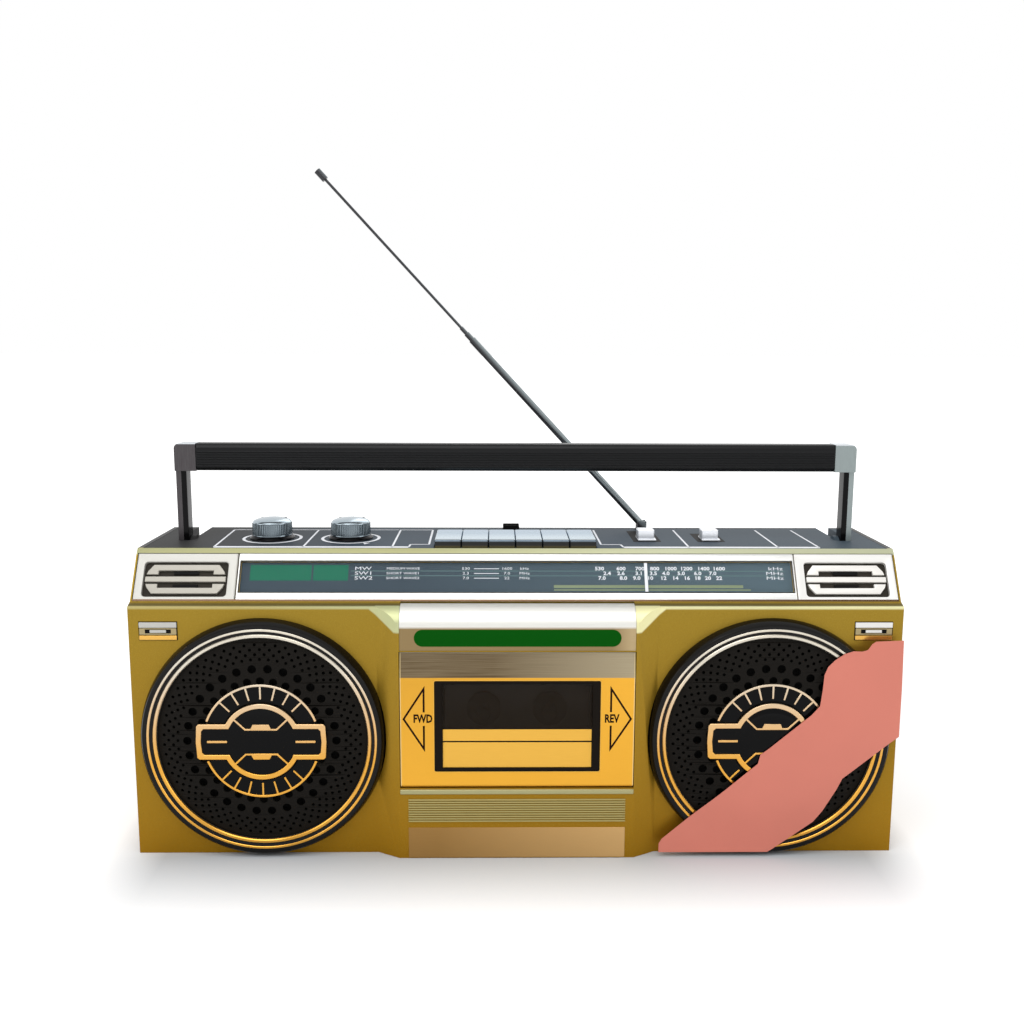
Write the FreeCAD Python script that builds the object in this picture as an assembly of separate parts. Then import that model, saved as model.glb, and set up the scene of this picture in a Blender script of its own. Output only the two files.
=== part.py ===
import FreeCAD, Part
import math
import os

os.makedirs("parts", exist_ok=True)
V = FreeCAD.Vector

# A portable stereo cassette recorder with a radio.  Millimetres, front towards -Y, +Z up.
# The origin is on the floor, in the middle of the cabinet's width and depth.

# ---- Overall sizes ------------------------------------------------------------------
body_width = 485.0
body_height = 195.0
body_depth = 104.0           # speaker baffle to back
front = -48.0                # Y of the speaker baffles
wall = 3.0
seam = 16.0                  # Y where the front and rear mouldings meet
half = body_width / 2
back = front + body_depth
top = body_height

# ---- Slanted dial bank --------------------------------------------------------------
block_height = top - 32.6    # top of the upright front face
foot_y = front + 5.5
foot_z = top - 30.4
slope_rise = 28.1
slope_run = 17.2
slope_angle = math.degrees(math.atan2(slope_run, slope_rise))
slope_len = math.hypot(slope_rise, slope_run)
head_y = foot_y + slope_run
head_z = foot_z + slope_rise
top_front = head_y + 2.2
trim_t = 3.0                 # depth of the bright trim laid on the slope
slope_wall = 2.5
dial_half = 177.0
dial_low = 6.0
dial_high = 27.3
trim_low = 0.4
trim_high = 32.2
plate_face = -trim_t - slope_wall

# ---- Proud centre section -----------------------------------------------------------
centre_proud = 8.3
centre_half = 74.8
centre_flare = 14.2          # width of each splayed side
centre_front = front - centre_proud
curve_low = block_height - 11.5
curve_top = block_height + 1.3

# ---- Speakers -----------------------------------------------------------------------
ring_r = 77.4
speaker_margin = 4.9         # cabinet side to ring
speaker_lift = 0.7           # floor to ring
speaker_x = half - speaker_margin - ring_r
speaker_z = speaker_lift + ring_r
grille_r = ring_r - 11.8
grille_fit = 0.1
flange_r = ring_r - 5.4
ring_proud = 7.4
grille_y = front - 4.2
grille_crown = 3.0           # how far the grille's middle stands out
hole_count = 30
hole_r = 2.75
small_hole_r = 1.6
emblem_t = 2.6

# ---- Cassette door ------------------------------------------------------------------
door_half = 73.5
door_low = 47.3
door_high = 135.6
door_bend = 119.3
door_t = 3.0
door_gap = 0.4
win_half = 49.5
win_low = 58.9
win_high = 116.5
win_rebate = 2.8
barrel_r = 2.2
pivot_y = centre_front + barrel_r
pivot_z = door_low + barrel_r
stub_r = 1.0
stub_reach = 2.2             # how far the stubs run out past the ends of the door
stub_end_gap = 0.4
run_fit = 0.05               # radial clearance of everything that turns or slides

# ---- Deck ---------------------------------------------------------------------------
cassette_half = 51.2
cassette_low = 54.0
reel_half = 21.25
reel_z = 92.5
deck_y = front + 14.0        # front face of the chassis plate
deck_t = 1.5
deck_half = 83.0
deck_low = 42.0
deck_high = 140.0
capstan_x = 31.0
capstan_z = 62.0
flywheel_r = 24.0
pulley_r = 5.0
motor_x = -38.0
motor_z = 60.0
motor_r = 16.0
belt_t = 1.2
head_travel = 3.0
pinch_r = 6.0
capstan_r = 1.25
pinch_z = capstan_z - capstan_r - pinch_r - head_travel - 0.1
chassis_post_r = 3.5

# ---- Name plate and microphone inserts -----------------------------------------------
name_half = 68.8
name_low = 0.6
name_high = 20.6
name_t = 1.2
name_proud = 0.4
mic_w = 24.2
mic_h = 12.1
mic_x = half - 18.5
mic_z = block_height - 15.2

# ---- Top panel and its controls -----------------------------------------------------
panel_t = 1.8
panel_half = half - 3.5
panel_front = top_front + 0.5
panel_back = back - 3.6
under = top - panel_t
rim_half = half - 8.5
key_count = 6
key_pitch = 17.5
key_gap = 0.4
key_x = -1.0
key_front = front + 27.8
key_back = front + 67.0
key_top = top + 5.0
key_pivot_y = front + 72.0
key_pivot_z = top - 5.0
key_shaft_r = 1.5
key_eye_r = 2.9
key_span = key_count * key_pitch / 2
knob_y = front + 60.8
knob_1 = -163.9
knob_2 = -111.3
knob_r = 13.3
knob_h = 13.6
shaft_r = 3.0
slider_y = front + 56.0
slider_1 = 87.1
slider_2 = 129.8
slider_1_travel = 22.0
slider_2_travel = 14.0

# ---- Carrying handle ----------------------------------------------------------------
arm_in = half - 24.7
arm_out = half - 18.0
well_in = half - 26.7
well_out = half - 17.5
well_wall = 1.5
well_floor = top - 19.5
arm_front = front + 53.0
arm_back = front + 63.0
handle_y = front + 60.0      # pivot line
handle_z = top - 5.0
foot_r = 6.8
boss_r = 7.2
pin_r = 2.0
grip_low = top + 46.4
grip_high = top + 64.6
grip_front = front + 51.0
grip_back = front + 65.0
grip_half = half - 31.8
corner_out = half - 17.8
corner_round = 3.5

# ---- Telescopic aerial --------------------------------------------------------------
aerial_x = 89.4
aerial_y = back - 6.0
aerial_z = top + 3.6
aerial_lean = 42.9
aerial_foot_t = 0.5
aerial_eye_r = 3.0
cheek_half = 3.9
cheek_gap_half = 2.6
tube_1_r = 2.5
tube_2_r = 1.9
tube_3_r = 1.4
tube_4_r = 0.95
tube_1_end = 176.0
tube_2_end = 181.5
tube_3_end = 187.0
tube_4_end = 320.6
tip_len = 8.0
clip_x = -3.0
clip_half = 5.7
clip_t = 1.0
clip_high = 3.4
clip_prong_y = 3.6
clip_prong_half = 0.7

# ---- Battery bay and rear -----------------------------------------------------------
bay_half = 104.0
bay_low = 12.0
bay_high = 84.0
bay_front = seam + 3.0
bay_wall = 2.0
lid_t = 2.5
lid_margin = 3.0
lid_gap = 0.3
jack_x = -175.0
jack_z = 80.0
jack_r = 1.8
jack_barrel_r = 4.0
inlet_x = 175.0
inlet_half = 12.0
inlet_rise = 8.0
screw_r = 1.4
screw_head_r = 3.0
boss_r_front = 4.5
boss_r_rear = 5.0
screw_seat = seam + 6.0
vent_count = 7
vent_pitch = 50.0
vent_half = 18.0
lid_half = bay_half + lid_margin + lid_gap
lid_low = bay_low - lid_margin - lid_gap
lid_high = bay_high + lid_margin + lid_gap
lid_pivot_y = back - lid_t / 2
lid_pivot_z = lid_low + lid_gap + lid_t / 2

# ---- Electrical pieces --------------------------------------------------------------
board_back = 13.6
board_t = 1.6
board_half = 95.0
board_low = 10.0
board_high = 128.0
board_post_x = 80.0
core_x = 162.0
core_half = 22.0
core_high = 41.0
coil_half = 14.0
capacitor_half = 13.0

# ---- Tuning -------------------------------------------------------------------------
tuning_y = front + 43.0
tuning_z = 140.0
drum_r = 25.5
pointer_x = 82.0
pointer_low_x = 23.0
pointer_high_x = 144.0


def box(x0, x1, y0, y1, z0, z1):
    return Part.makeBox(x1 - x0, y1 - y0, z1 - z0, V(x0, y0, z0))


def rod_x(x0, x1, y, z, r):
    return Part.makeCylinder(r, x1 - x0, V(x0, y, z), V(1, 0, 0))


def rod_y(x, y0, y1, z, r):
    return Part.makeCylinder(r, y1 - y0, V(x, y0, z), V(0, 1, 0))


def rod_z(x, y, z0, z1, r):
    return Part.makeCylinder(r, z1 - z0, V(x, y, z0), V(0, 0, 1))


def side_prism(points, x0, x1):
    """Extrude a (y, z) polygon along X."""
    loop = [V(x0, y, z) for y, z in points]
    return Part.Face(Part.makePolygon(loop + loop[:1])).extrude(V(x1 - x0, 0, 0))


def plan_prism(points, z0, z1):
    """Extrude an (x, y) polygon upwards."""
    loop = [V(x, y, z0) for x, y in points]
    return Part.Face(Part.makePolygon(loop + loop[:1])).extrude(V(0, 0, z1 - z0))


def turned_y(points, x, z):
    """Revolve an (r, y) polygon about the line through x, z along Y."""
    loop = [V(x + r, y, z) for r, y in points]
    return Part.Face(Part.makePolygon(loop + loop[:1])).revolve(V(x, 0, z), V(0, 1, 0), 360)


def turned_z(points, x, y):
    """Revolve an (r, z) polygon about the line through x, y along Z."""
    loop = [V(x + r, y, z) for r, z in points]
    return Part.Face(Part.makePolygon(loop + loop[:1])).revolve(V(x, y, 0), V(0, 0, 1), 360)


def joined(*shapes):
    return shapes[0].fuse(list(shapes[1:])).removeSplitter()


def mirrored(shape):
    return shape.mirror(V(0, 0, 0), V(1, 0, 0))


def on_slope(x0, x1, v0, v1, w0, w1):
    """A box laid on the dial slope: v runs up the slope, w outwards from its face."""
    block = box(x0, x1, -w1, -w0, v0, v1)
    block.rotate(V(0, 0, 0), V(1, 0, 0), -slope_angle)
    block.translate(V(0, foot_y, foot_z))
    return block


def save(node, shape):
    if not shape.isValid() or not shape.Solids:
        raise ValueError(node + " is not a valid solid")
    shape.exportStep(os.path.join("parts", node + ".step"))


# ---- Shared outlines ----------------------------------------------------------------
def slope_line(offset, z):
    """Y of the slope's face, moved inwards by offset, at height z."""
    return foot_y + (z - foot_z) * slope_run / slope_rise + offset * slope_len / slope_rise


def centre_profile(grow, low):
    """Side outline of the proud centre: upright, then rolling back to the slope's foot."""
    y0 = centre_front + grow
    y2 = foot_y
    z0 = curve_low
    z2 = curve_top - grow
    mid = V(0, y0 + (y2 - y0) * (1 - math.cos(math.pi / 4)), z0 + (z2 - z0) * math.sin(math.pi / 4))
    lines = [
        Part.makeLine(V(0, front + wall, low), V(0, y0, low)),
        Part.makeLine(V(0, y0, low), V(0, y0, z0)),
        Part.Arc(V(0, y0, z0), mid, V(0, y2, z2)).toShape(),
        Part.makeLine(V(0, y2, z2), V(0, y2, z2 - 4)),
        Part.makeLine(V(0, y2, z2 - 4), V(0, front + wall, z2 - 4)),
        Part.makeLine(V(0, front + wall, z2 - 4), V(0, front + wall, low)),
    ]
    return Part.Face(Part.Wire(lines))


def centre_block(grow, low, side):
    reach = centre_half + centre_flare
    face = centre_profile(grow, low)
    face.translate(V(-reach, 0, 0))
    bar = face.extrude(V(2 * reach, 0, 0))
    outline = [
        (-side - centre_flare, front),
        (-side, centre_front),
        (side, centre_front),
        (side + centre_flare, front),
        (side + centre_flare, foot_y),
        (-side - centre_flare, foot_y),
    ]
    return bar.common(plan_prism(outline, low, curve_top + 1))


boss_spots = [(half - 10.5, 9.0), (half - 10.5, top - 23.0), (bay_half + 14.0, 9.0)]
deck_spots = [(centre_half + 4.2, 62.0), (centre_half + 4.2, 130.0)]
speaker_spots = [(math.cos(a) * (flange_r - 4), math.sin(a) * (flange_r - 4))
                 for a in (math.pi / 4, 3 * math.pi / 4, 5 * math.pi / 4, 7 * math.pi / 4)]


# ---- Front cabinet ------------------------------------------------------------------
def front_cabinet():
    outline = [(front, 0), (front, block_height), (foot_y, foot_z), (head_y, head_z), (top_front, top)]
    shell = side_prism(outline + [(seam, top), (seam, 0)], -half, half)
    shell = joined(shell, centre_block(0, 0, centre_half))
    skin = trim_t + slope_wall
    low_z = block_height - wall
    high_z = top - wall
    inner = [(front + wall, wall), (front + wall, low_z), (slope_line(skin, low_z), low_z)]
    inner += [(slope_line(skin, high_z), high_z), (seam + 1, high_z), (seam + 1, wall)]
    shell = shell.cut(side_prism(inner, wall - half, half - wall))
    hollow = [
        (-centre_half - centre_flare + wall, front + wall + 1),
        (-centre_half + 1.8, centre_front + wall),
        (centre_half - 1.8, centre_front + wall),
        (centre_half + centre_flare - wall, front + wall + 1),
    ]
    cuts = [plan_prism(hollow, wall, curve_low - wall)]
    # Seats of the header, the name plate and the door
    cuts.append(box(-door_half, door_half, centre_front - 1, foot_y + 1, door_high + 1, curve_top + 1)
                .cut(header_core()))
    cuts.append(box(-door_half - door_gap, door_half + door_gap, centre_front - 1, centre_front + wall + 1,
                    door_low - door_gap, door_high + door_gap))
    name_back = centre_front - name_proud + name_t
    cuts.append(box(-name_half, name_half, centre_front - 1, name_back, name_low, name_high))
    cuts.append(on_slope(wall / 3 - half, half - wall / 3, trim_low - 0.2, trim_high + 0.2, -trim_t, 9))
    cuts.append(on_slope(5 - dial_half, dial_half - 5, dial_low + 2, dial_high - 2, -9, 0))
    cuts.append(box(-panel_half - 0.3, panel_half + 0.3, panel_front - 0.3, seam + 1, under, top + 1))
    cuts.append(box(-rim_half, rim_half, panel_front + 5.5, seam + 1, top - 9, top))
    cuts.append(box(key_x - key_span - key_gap, key_x + key_span + key_gap, key_front - 0.9, seam + 1,
                    top - 9, top))
    for side in (-1, 1):
        cuts.append(rod_y(side * speaker_x, front - 1, front + wall + 1, speaker_z, grille_r - 1.5))
        cuts.append(rod_y(side * speaker_x, centre_front, front, speaker_z, ring_r + 0.1))
        x = side * mic_x
        cuts.append(box(x - mic_w / 2, x + mic_w / 2, front - 1, front + 4, mic_z - mic_h / 2,
                        mic_z + mic_h / 2))
    cuts.append(rod_x(half - 5, half + 1, tuning_y, tuning_z, shaft_r + 0.4))
    shell = shell.cut(cuts)
    adds = []
    for side in (-1, 1):
        for x, z in boss_spots:
            start = front + 1 if z < block_height - 10 else slope_line(trim_t + 1, z + boss_r_front)
            adds.append(rod_y(side * x, start, seam, z, boss_r_front))
        for x, z in deck_spots:
            adds.append(rod_y(side * x, deck_y - 16.5, deck_y, z, chassis_post_r))
        cheek = box(door_half + door_gap, door_half + stub_reach + 0.8, pivot_y, front,
                    pivot_z - 5, pivot_z + 6)
        adds.append(cheek if side > 0 else mirrored(cheek))
    shelf_z = tuning_z - capacitor_half
    shelf = box(half - 37.5, half - wall + 0.1, front + 8, seam - 4, shelf_z - 2, shelf_z)
    notch = box(half - 15.5, half - 7, tuning_y - drum_r - 1, tuning_y + drum_r + 1, 0, tuning_z)
    adds.append(shelf.cut(notch))
    shell = joined(shell, *adds)
    bore_end = door_half + stub_reach + stub_end_gap
    bores = [rod_x(-bore_end, bore_end, pivot_y, pivot_z, stub_r + run_fit)]
    for side in (-1, 1):
        for x, z in boss_spots:
            bores.append(rod_y(side * x, seam - 12, seam + 1, z, screw_r))
        for x, z in deck_spots:
            bores.append(rod_y(side * x, deck_y - 10, deck_y + 1, z, screw_r))
    return shell.cut(bores)



def header_core():
    """What stays of the centre section behind the two-millimetre header."""
    return centre_block(2.0, 0, centre_half + 10)


def header_plate():
    whole = centre_block(0, door_high + 1, centre_half + 10)
    plate = whole.cut(header_core())
    span = box(0.1 - door_half, door_half - 0.1, centre_front - 1, foot_y + 1, door_high + 1, curve_top + 1)
    return plate.common(span)


def name_plate():
    face = centre_front - name_proud
    return box(-name_half, name_half, face, face + name_t, name_low, name_high)


# ---- Rear cabinet -------------------------------------------------------------------
def rear_cabinet():
    shell = box(-half, half, seam, back, 0, top)
    shell = shell.cut(box(wall - half, half - wall, seam - 1, back - wall, wall, top - wall))
    tub = box(-bay_half - bay_wall, bay_half + bay_wall, bay_front - bay_wall, back - 1,
              bay_low - bay_wall, bay_high + bay_wall)
    adds = [tub]
    frame_y = back - lid_t - bay_wall
    adds.append(box(-bay_half - 6, bay_half + 6, frame_y, back - 1, bay_low - 6, bay_high + 6))
    for x in (-board_post_x, board_post_x):
        adds.append(rod_y(x, board_back, bay_front, board_low + 8, chassis_post_r))
        adds.append(rod_y(x, board_back, back - 1, board_high - 8, chassis_post_r))
    shell = joined(shell, *adds)
    cuts = [box(-bay_half, bay_half, bay_front, back + 1, bay_low, bay_high)]
    cuts.append(box(-lid_half, lid_half, back - lid_t - 0.1, back + 1, lid_low, lid_high))
    cuts.append(box(-panel_half - 0.3, panel_half + 0.3, seam - 1, panel_back + 0.3, under, top + 1))
    cuts.append(box(-rim_half, rim_half, seam - 1, panel_back - 3.4, top - 4, top))
    cuts.append(rod_z(aerial_x, aerial_y, top - 9, top, 2.3))
    cuts.append(rod_y(jack_x, back - wall - 1, back + 1, jack_z, jack_barrel_r + 0.1))
    cuts.append(box(inlet_x - inlet_half, inlet_x + inlet_half, back - wall - 1, back + 1,
                    jack_z - inlet_rise, jack_z + inlet_rise))
    cuts.append(rod_x(-lid_half - 5, lid_half + 5, lid_pivot_y, lid_pivot_z, stub_r + run_fit))
    for side in (-1, 1):
        slot = box(well_in - well_wall, well_out + well_wall, panel_back - 4, back + 1,
                   well_floor - well_wall, top + 1)
        cuts.append(slot if side > 0 else mirrored(slot))
        for x, z in boss_spots:
            cuts.append(rod_y(side * x, seam - 1, back + 1, z, screw_r + 0.3))
            cuts.append(rod_y(side * x, screw_seat, back + 1, z, screw_head_r + 0.5))
    for i in range(vent_count):
        x = (i - (vent_count - 1) / 2) * vent_pitch
        for z in (top - 46, top - 38):
            cuts.append(box(x - vent_half, x + vent_half, back - wall - 1, back + 1, z, z + 3))
    tubes = []
    for side in (-1, 1):
        for x, z in boss_spots:
            post = rod_y(side * x, seam, back - 1, z, boss_r_rear)
            hole = joined(rod_y(side * x, seam - 1, screw_seat + 1, z, screw_r + 0.3),
                          rod_y(side * x, screw_seat, back + 1, z, screw_head_r + 0.5))
            tubes.append(post.cut(hole))
    return joined(shell.cut(cuts), *tubes)


def battery_door():
    x = bay_half + lid_margin
    plate = box(-x, x, back - lid_t, back, lid_pivot_z, bay_high + lid_margin)
    plate = joined(plate, rod_x(-x, x, lid_pivot_y, lid_pivot_z, lid_t / 2))
    stubs = rod_x(-x - 4, x + 4, lid_pivot_y, lid_pivot_z, stub_r)
    thumb = box(-12, 12, back - 1, back + 1, bay_high - 8, bay_high - 5)
    return joined(plate, stubs).cut(thumb)


# ---- Slanted bank -------------------------------------------------------------------
def dial_frame():
    bar = on_slope(-dial_half, dial_half, trim_low, trim_high, -trim_t, 0)
    return bar.cut(on_slope(1.2 - dial_half, dial_half - 1.2, dial_low, dial_high, -9, 1))


def dial_lens():
    return on_slope(1.4 - dial_half, dial_half - 1.4, dial_low + 0.2, dial_high - 0.2, -trim_t, -1.3)


def dial_scale_plate():
    plate = on_slope(3 - dial_half, dial_half - 3, 4, dial_high + 2, plate_face - 1.2, plate_face)
    slit = on_slope(pointer_low_x - 4, pointer_high_x + 4, dial_low + 3.0, dial_low + 4.4, plate_face - 2, 0)
    return plate.cut(slit)


def dial_pointer():
    v = dial_low + 3.7
    needle = on_slope(pointer_x - 0.8, pointer_x + 0.8, v - 1, dial_high - 2.6, -trim_t - 1.4, -trim_t - 0.6)
    neck = on_slope(pointer_x - 0.8, pointer_x + 0.8, v - 0.6, v + 0.6, plate_face - 2, -trim_t - 1)
    shoe = on_slope(pointer_x - 6, pointer_x + 6, v - 3, v + 3, plate_face - 4, plate_face - 1.25)
    return joined(needle, neck, shoe)


def corner_grille():
    x0 = dial_half + 0.3
    x1 = half - 1.3
    plate = on_slope(x0, x1, trim_low, trim_high, -trim_t, 0)
    plate = plate.cut(on_slope(x0 + 6, x1 - 4.5, 3.6, 26.2, -trim_t + 0.8, 1))
    bars = []
    for v0, v1 in ((5.4, 11.9), (13.0, 16.9), (17.8, 24.4)):
        bars.append(on_slope(x0 + 10, x1 - 10, v0, v1, -trim_t, -0.4))
    return joined(plate, *bars)


# ---- Speakers -----------------------------------------------------------------------
def speaker_ring():
    y = front
    section = [
        (ring_r, y),
        (ring_r - 2.4, y - ring_proud + 1.2),
        (ring_r - 4.0, y - ring_proud),
        (ring_r - 6.2, y - ring_proud),
        (grille_r + 1.2, y - ring_proud + 2),
        (grille_r + grille_fit, y - ring_proud + 2),
        (grille_r + grille_fit, y),
    ]
    return turned_y(section, speaker_x, speaker_z)


def speaker_grille():
    section = [
        (0, grille_y - grille_crown),
        (grille_r * 0.65, grille_y - grille_crown),
        (grille_r - 1.5, grille_y),
        (grille_r, grille_y),
        (grille_r, front),
        (grille_r - 1.7, front),
        (grille_r - 1.7, grille_y + 1.6),
        (0, grille_y + 1.2),
    ]
    disc = turned_y(section, speaker_x, speaker_z)
    holes = []
    for i in range(hole_count):
        a = 2 * math.pi * i / hole_count
        for r, size in ((0.69 * grille_r, hole_r), (0.85 * grille_r, small_hole_r)):
            x = speaker_x + r * math.cos(a)
            z = speaker_z + r * math.sin(a)
            holes.append(rod_y(x, grille_y - 4, front, z, size))
    return disc.cut(Part.makeCompound(holes))


def speaker_emblem():
    y1 = grille_y - grille_crown
    y0 = y1 - emblem_t
    outer = 0.535 * grille_r
    ring = rod_y(speaker_x, y0, y1, speaker_z, outer).cut(rod_y(speaker_x, y0, y1, speaker_z, outer - 2.6))
    bar = box(speaker_x - 0.62 * grille_r, speaker_x + 0.62 * grille_r, y0, y1, speaker_z - 10, speaker_z + 10)
    centre = rod_y(speaker_x, y0, y1, speaker_z, 0.38 * grille_r)
    return joined(ring, bar, centre)


def woofer():
    y = front + wall
    section = [
        (flange_r - 12, y),
        (flange_r, y),
        (flange_r, y + 2),
        (flange_r - 10.5, y + 2),
        (0.44 * flange_r, y + 30),
        (0.44 * flange_r, y + 33),
        (0.53 * flange_r, y + 33),
        (0.53 * flange_r, y + 49),
        (0, y + 49),
        (0, y + 24),
        (0.17 * flange_r, y + 27),
        (flange_r - 14, y + 3),
    ]
    driver = turned_y(section, speaker_x, speaker_z)
    holes = [rod_y(speaker_x + x, y - 1, y + 3, speaker_z + z, screw_r) for x, z in speaker_spots]
    return driver.cut(holes)


def microphone():
    x0 = mic_x - mic_w / 2
    x1 = mic_x + mic_w / 2
    cup = box(x0, x1, front - 0.8, front + 6, mic_z - mic_h / 2, mic_z + mic_h / 2)
    slot = box(x0 + 3.5, x1 - 3.5, front - 1, front + 2, mic_z - 2.4, mic_z + 2.4)
    bar = box(mic_x - 6, mic_x + 6, front - 0.4, front + 2, mic_z - 1, mic_z + 1)
    return joined(cup.cut(slot), bar)


# ---- Cassette door and holder -------------------------------------------------------
def cassette_door():
    y = centre_front
    lean = 1.2
    outline = [
        (y, pivot_z),
        (y, door_bend),
        (y + lean, door_high),
        (y + lean + door_t - 0.4, door_high),
        (y + door_t, door_bend),
        (y + door_t, pivot_z),
    ]
    leaf = side_prism(outline, -door_half, door_half)
    leaf = joined(leaf, rod_x(-door_half, door_half, pivot_y, pivot_z, barrel_r))
    leaf = leaf.cut(box(-win_half - win_rebate, win_half + win_rebate, y - 1, y + 1.0,
                        win_low - 1, win_high + 1))
    leaf = leaf.cut(box(-win_half, win_half, y - 1, y + door_t + 1, win_low, win_high))
    stub_end = door_half + stub_reach
    return joined(leaf, rod_x(-stub_end, stub_end, pivot_y, pivot_z, stub_r))


def door_window():
    return box(-win_half, win_half, centre_front + 1.2, centre_front + 2.8, win_low, win_high)


def cassette_holder():
    y0 = centre_front + door_t
    y1 = deck_y - 2.5
    out = cassette_half + 3
    low = cassette_low - 1.5
    high = 106.0
    floor = box(-out, out, y0, y1, low, cassette_low)
    floor = floor.cut(box(-40, 40, y0 + 2.8, y1 + 1, low - 1, cassette_low + 1))
    cheeks = []
    for side in (-1, 1):
        x = side * cassette_half
        cheek = box(cassette_half, out, y0, y1, low, high)
        lip = box(cassette_half - 5, out, y1 - 1.5, y1, low, high)
        cheek = joined(cheek, lip)
        cheeks.append(cheek if x > 0 else mirrored(cheek))
    return joined(floor, *cheeks)


# ---- Tape deck ----------------------------------------------------------------------
def deck_chassis():
    y0 = deck_y
    y1 = deck_y + deck_t
    plate = box(-deck_half, deck_half, y0, y1, deck_low, deck_high)
    flange = box(-deck_half + 25, deck_half - 25, y0, y0 + 20, deck_high - deck_t, deck_high)
    web = box(motor_x - 22, motor_x - 20.5, y0, y0 + 11.5, motor_z - 18, motor_z + 18)
    mount = box(motor_x - 22, motor_x + 18, y0 + 10, y0 + 11.5, motor_z - 18, motor_z + 18)
    body = joined(plate, flange, web, mount)
    cuts = [rod_y(motor_x, y0 - 1, y0 + 12, motor_z, 3.0)]
    cuts.append(rod_y(capstan_x, y0 - 1, y1 + 1, capstan_z, capstan_r + run_fit))
    for side in (-1, 1):
        cuts.append(rod_y(side * reel_half, y0 - 1, y1 + 1, reel_z, 2 + run_fit))
        for x, z in deck_spots:
            cuts.append(rod_y(side * x, y0 - 1, y1 + 1, z, screw_r))
    return body.cut(cuts)


def reel_table(x):
    y = deck_y
    section = [
        (0, y - 14),
        (3.4, y - 14),
        (4.4, y - 12),
        (4.4, y - 4.2),
        (11.0, y - 3.4),
        (11.0, y - 0.4),
        (2.0, y - 0.4),
        (2.0, y + deck_t + 0.4),
        (4.0, y + deck_t + 0.4),
        (4.0, y + deck_t + 1.6),
        (0, y + deck_t + 1.6),
    ]
    hub = turned_y(section, x, reel_z)
    fins = []
    for i in range(3):
        fin = box(x - 0.5, x + 0.5, y - 11, y - 4, reel_z, reel_z + 5.2)
        fin.rotate(V(x, 0, reel_z), V(0, 1, 0), 120 * i + 30)
        fins.append(fin)
    return joined(hub, *fins)


def flywheel():
    y = deck_y + deck_t
    wheel = rod_y(capstan_x, y + 2, y + 7, capstan_z, flywheel_r)
    return joined(wheel, rod_y(capstan_x, y - 14.5, y + 9, capstan_z, capstan_r))


def motor_pulley():
    y = deck_y + deck_t
    return joined(rod_y(motor_x, y + 2, y + 7, motor_z, pulley_r), rod_y(motor_x, y + 1, y + 13, motor_z, 1.0))


def drive_motor():
    y = deck_y + 11.5
    can = rod_y(motor_x, y, y + 28, motor_z, motor_r)
    return can.cut(rod_y(motor_x, y - 1, y + 3, motor_z, 1.0 + run_fit))


def loop_disc(grow, y0, y1):
    """Both wheels with their common tangents filled in, grown by a given amount."""
    a = V(motor_x, y0, motor_z)
    b = V(capstan_x, y0, capstan_z)
    r1 = pulley_r + grow
    r2 = flywheel_r + grow
    span = math.hypot(b.x - a.x, b.z - a.z)
    line = math.atan2(b.z - a.z, b.x - a.x)
    splay = math.acos((r1 - r2) / span)
    ends = []
    for centre, r in ((a, r1), (b, r2)):
        for turn in (splay, -splay):
            ang = line + turn
            ends.append(V(centre.x + r * math.cos(ang), y0, centre.z + r * math.sin(ang)))
    quad = [ends[0], ends[1], ends[3], ends[2], ends[0]]
    web = Part.Face(Part.makePolygon(quad)).extrude(V(0, y1 - y0, 0))
    return joined(rod_y(a.x, y0, y1, a.z, r1), rod_y(b.x, y0, y1, b.z, r2), web)


def drive_belt():
    y = deck_y + deck_t + 3
    outer = loop_disc(belt_t, y, y + 3)
    return outer.cut(loop_disc(0.02, y - 1, y + 4))


def head_block():
    y = deck_y
    plate = box(-36, 38, y - 3, y - 0.05, 43.0, 50.5)
    play = box(-6, 6, y - 14, y - 1, 46.0, 55.5)
    erase = box(-24, -16, y - 14, y - 1, 46.0, 54.0)
    stud = rod_y(capstan_x, y - 13, y - 1, pinch_z, 1.0)
    post = box(capstan_x - 2, capstan_x + 2, y - 3, y - 1, 46, pinch_z + 1)
    return joined(plate, play, erase, stud, post)


def pinch_roller():
    y = deck_y
    tyre = rod_y(capstan_x, y - 12, y - 4, pinch_z, pinch_r)
    return tyre.cut(rod_y(capstan_x, y - 14, y, pinch_z, 1.0 + run_fit))


# ---- Keys ---------------------------------------------------------------------------
key_names = ["record_key", "play_key", "rewind_key", "fast_forward_key", "stop_eject_key", "pause_key"]


def key_piece(i):
    x = key_x + (i - (key_count - 1) / 2) * key_pitch
    w = (key_pitch - key_gap) / 2
    cap = box(x - w, x + w, key_front, key_back, top - 1.5, key_top)
    lever = box(x - 3, x + 3, key_front + 5, key_pivot_y, top - 7, top - 1)
    leg = box(x - 2.5, x + 2.5, key_front + 8, key_front + 13, top - 43, top - 1)
    eye = rod_x(x - 3, x + 3, key_pivot_y, key_pivot_z, key_eye_r)
    roof = box(x - 4, x + 4, key_back, key_pivot_y + 4, under - 0.2, top)
    key = joined(cap, lever, leg, eye).cut(roof)
    return key.cut(rod_x(x - 4, x + 4, key_pivot_y, key_pivot_z, key_shaft_r + run_fit))


def key_frame():
    x0 = key_x - key_span - 2.4
    x1 = key_x + key_span + 2.4
    parts = []
    for x in (x0, x1 - 1.5):
        parts.append(box(x, x + 1.5, key_front + 4, key_pivot_y + 7, top - 30, under))
    parts.append(box(x0, x1, key_pivot_y + 5.5, key_pivot_y + 7, top - 30, under))
    parts.append(box(x0, x1, key_front + 17, key_front + 20, top - 30, top - 27))
    parts.append(rod_x(x0, x1, key_pivot_y, key_pivot_z, key_shaft_r))
    return joined(*parts)


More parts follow.
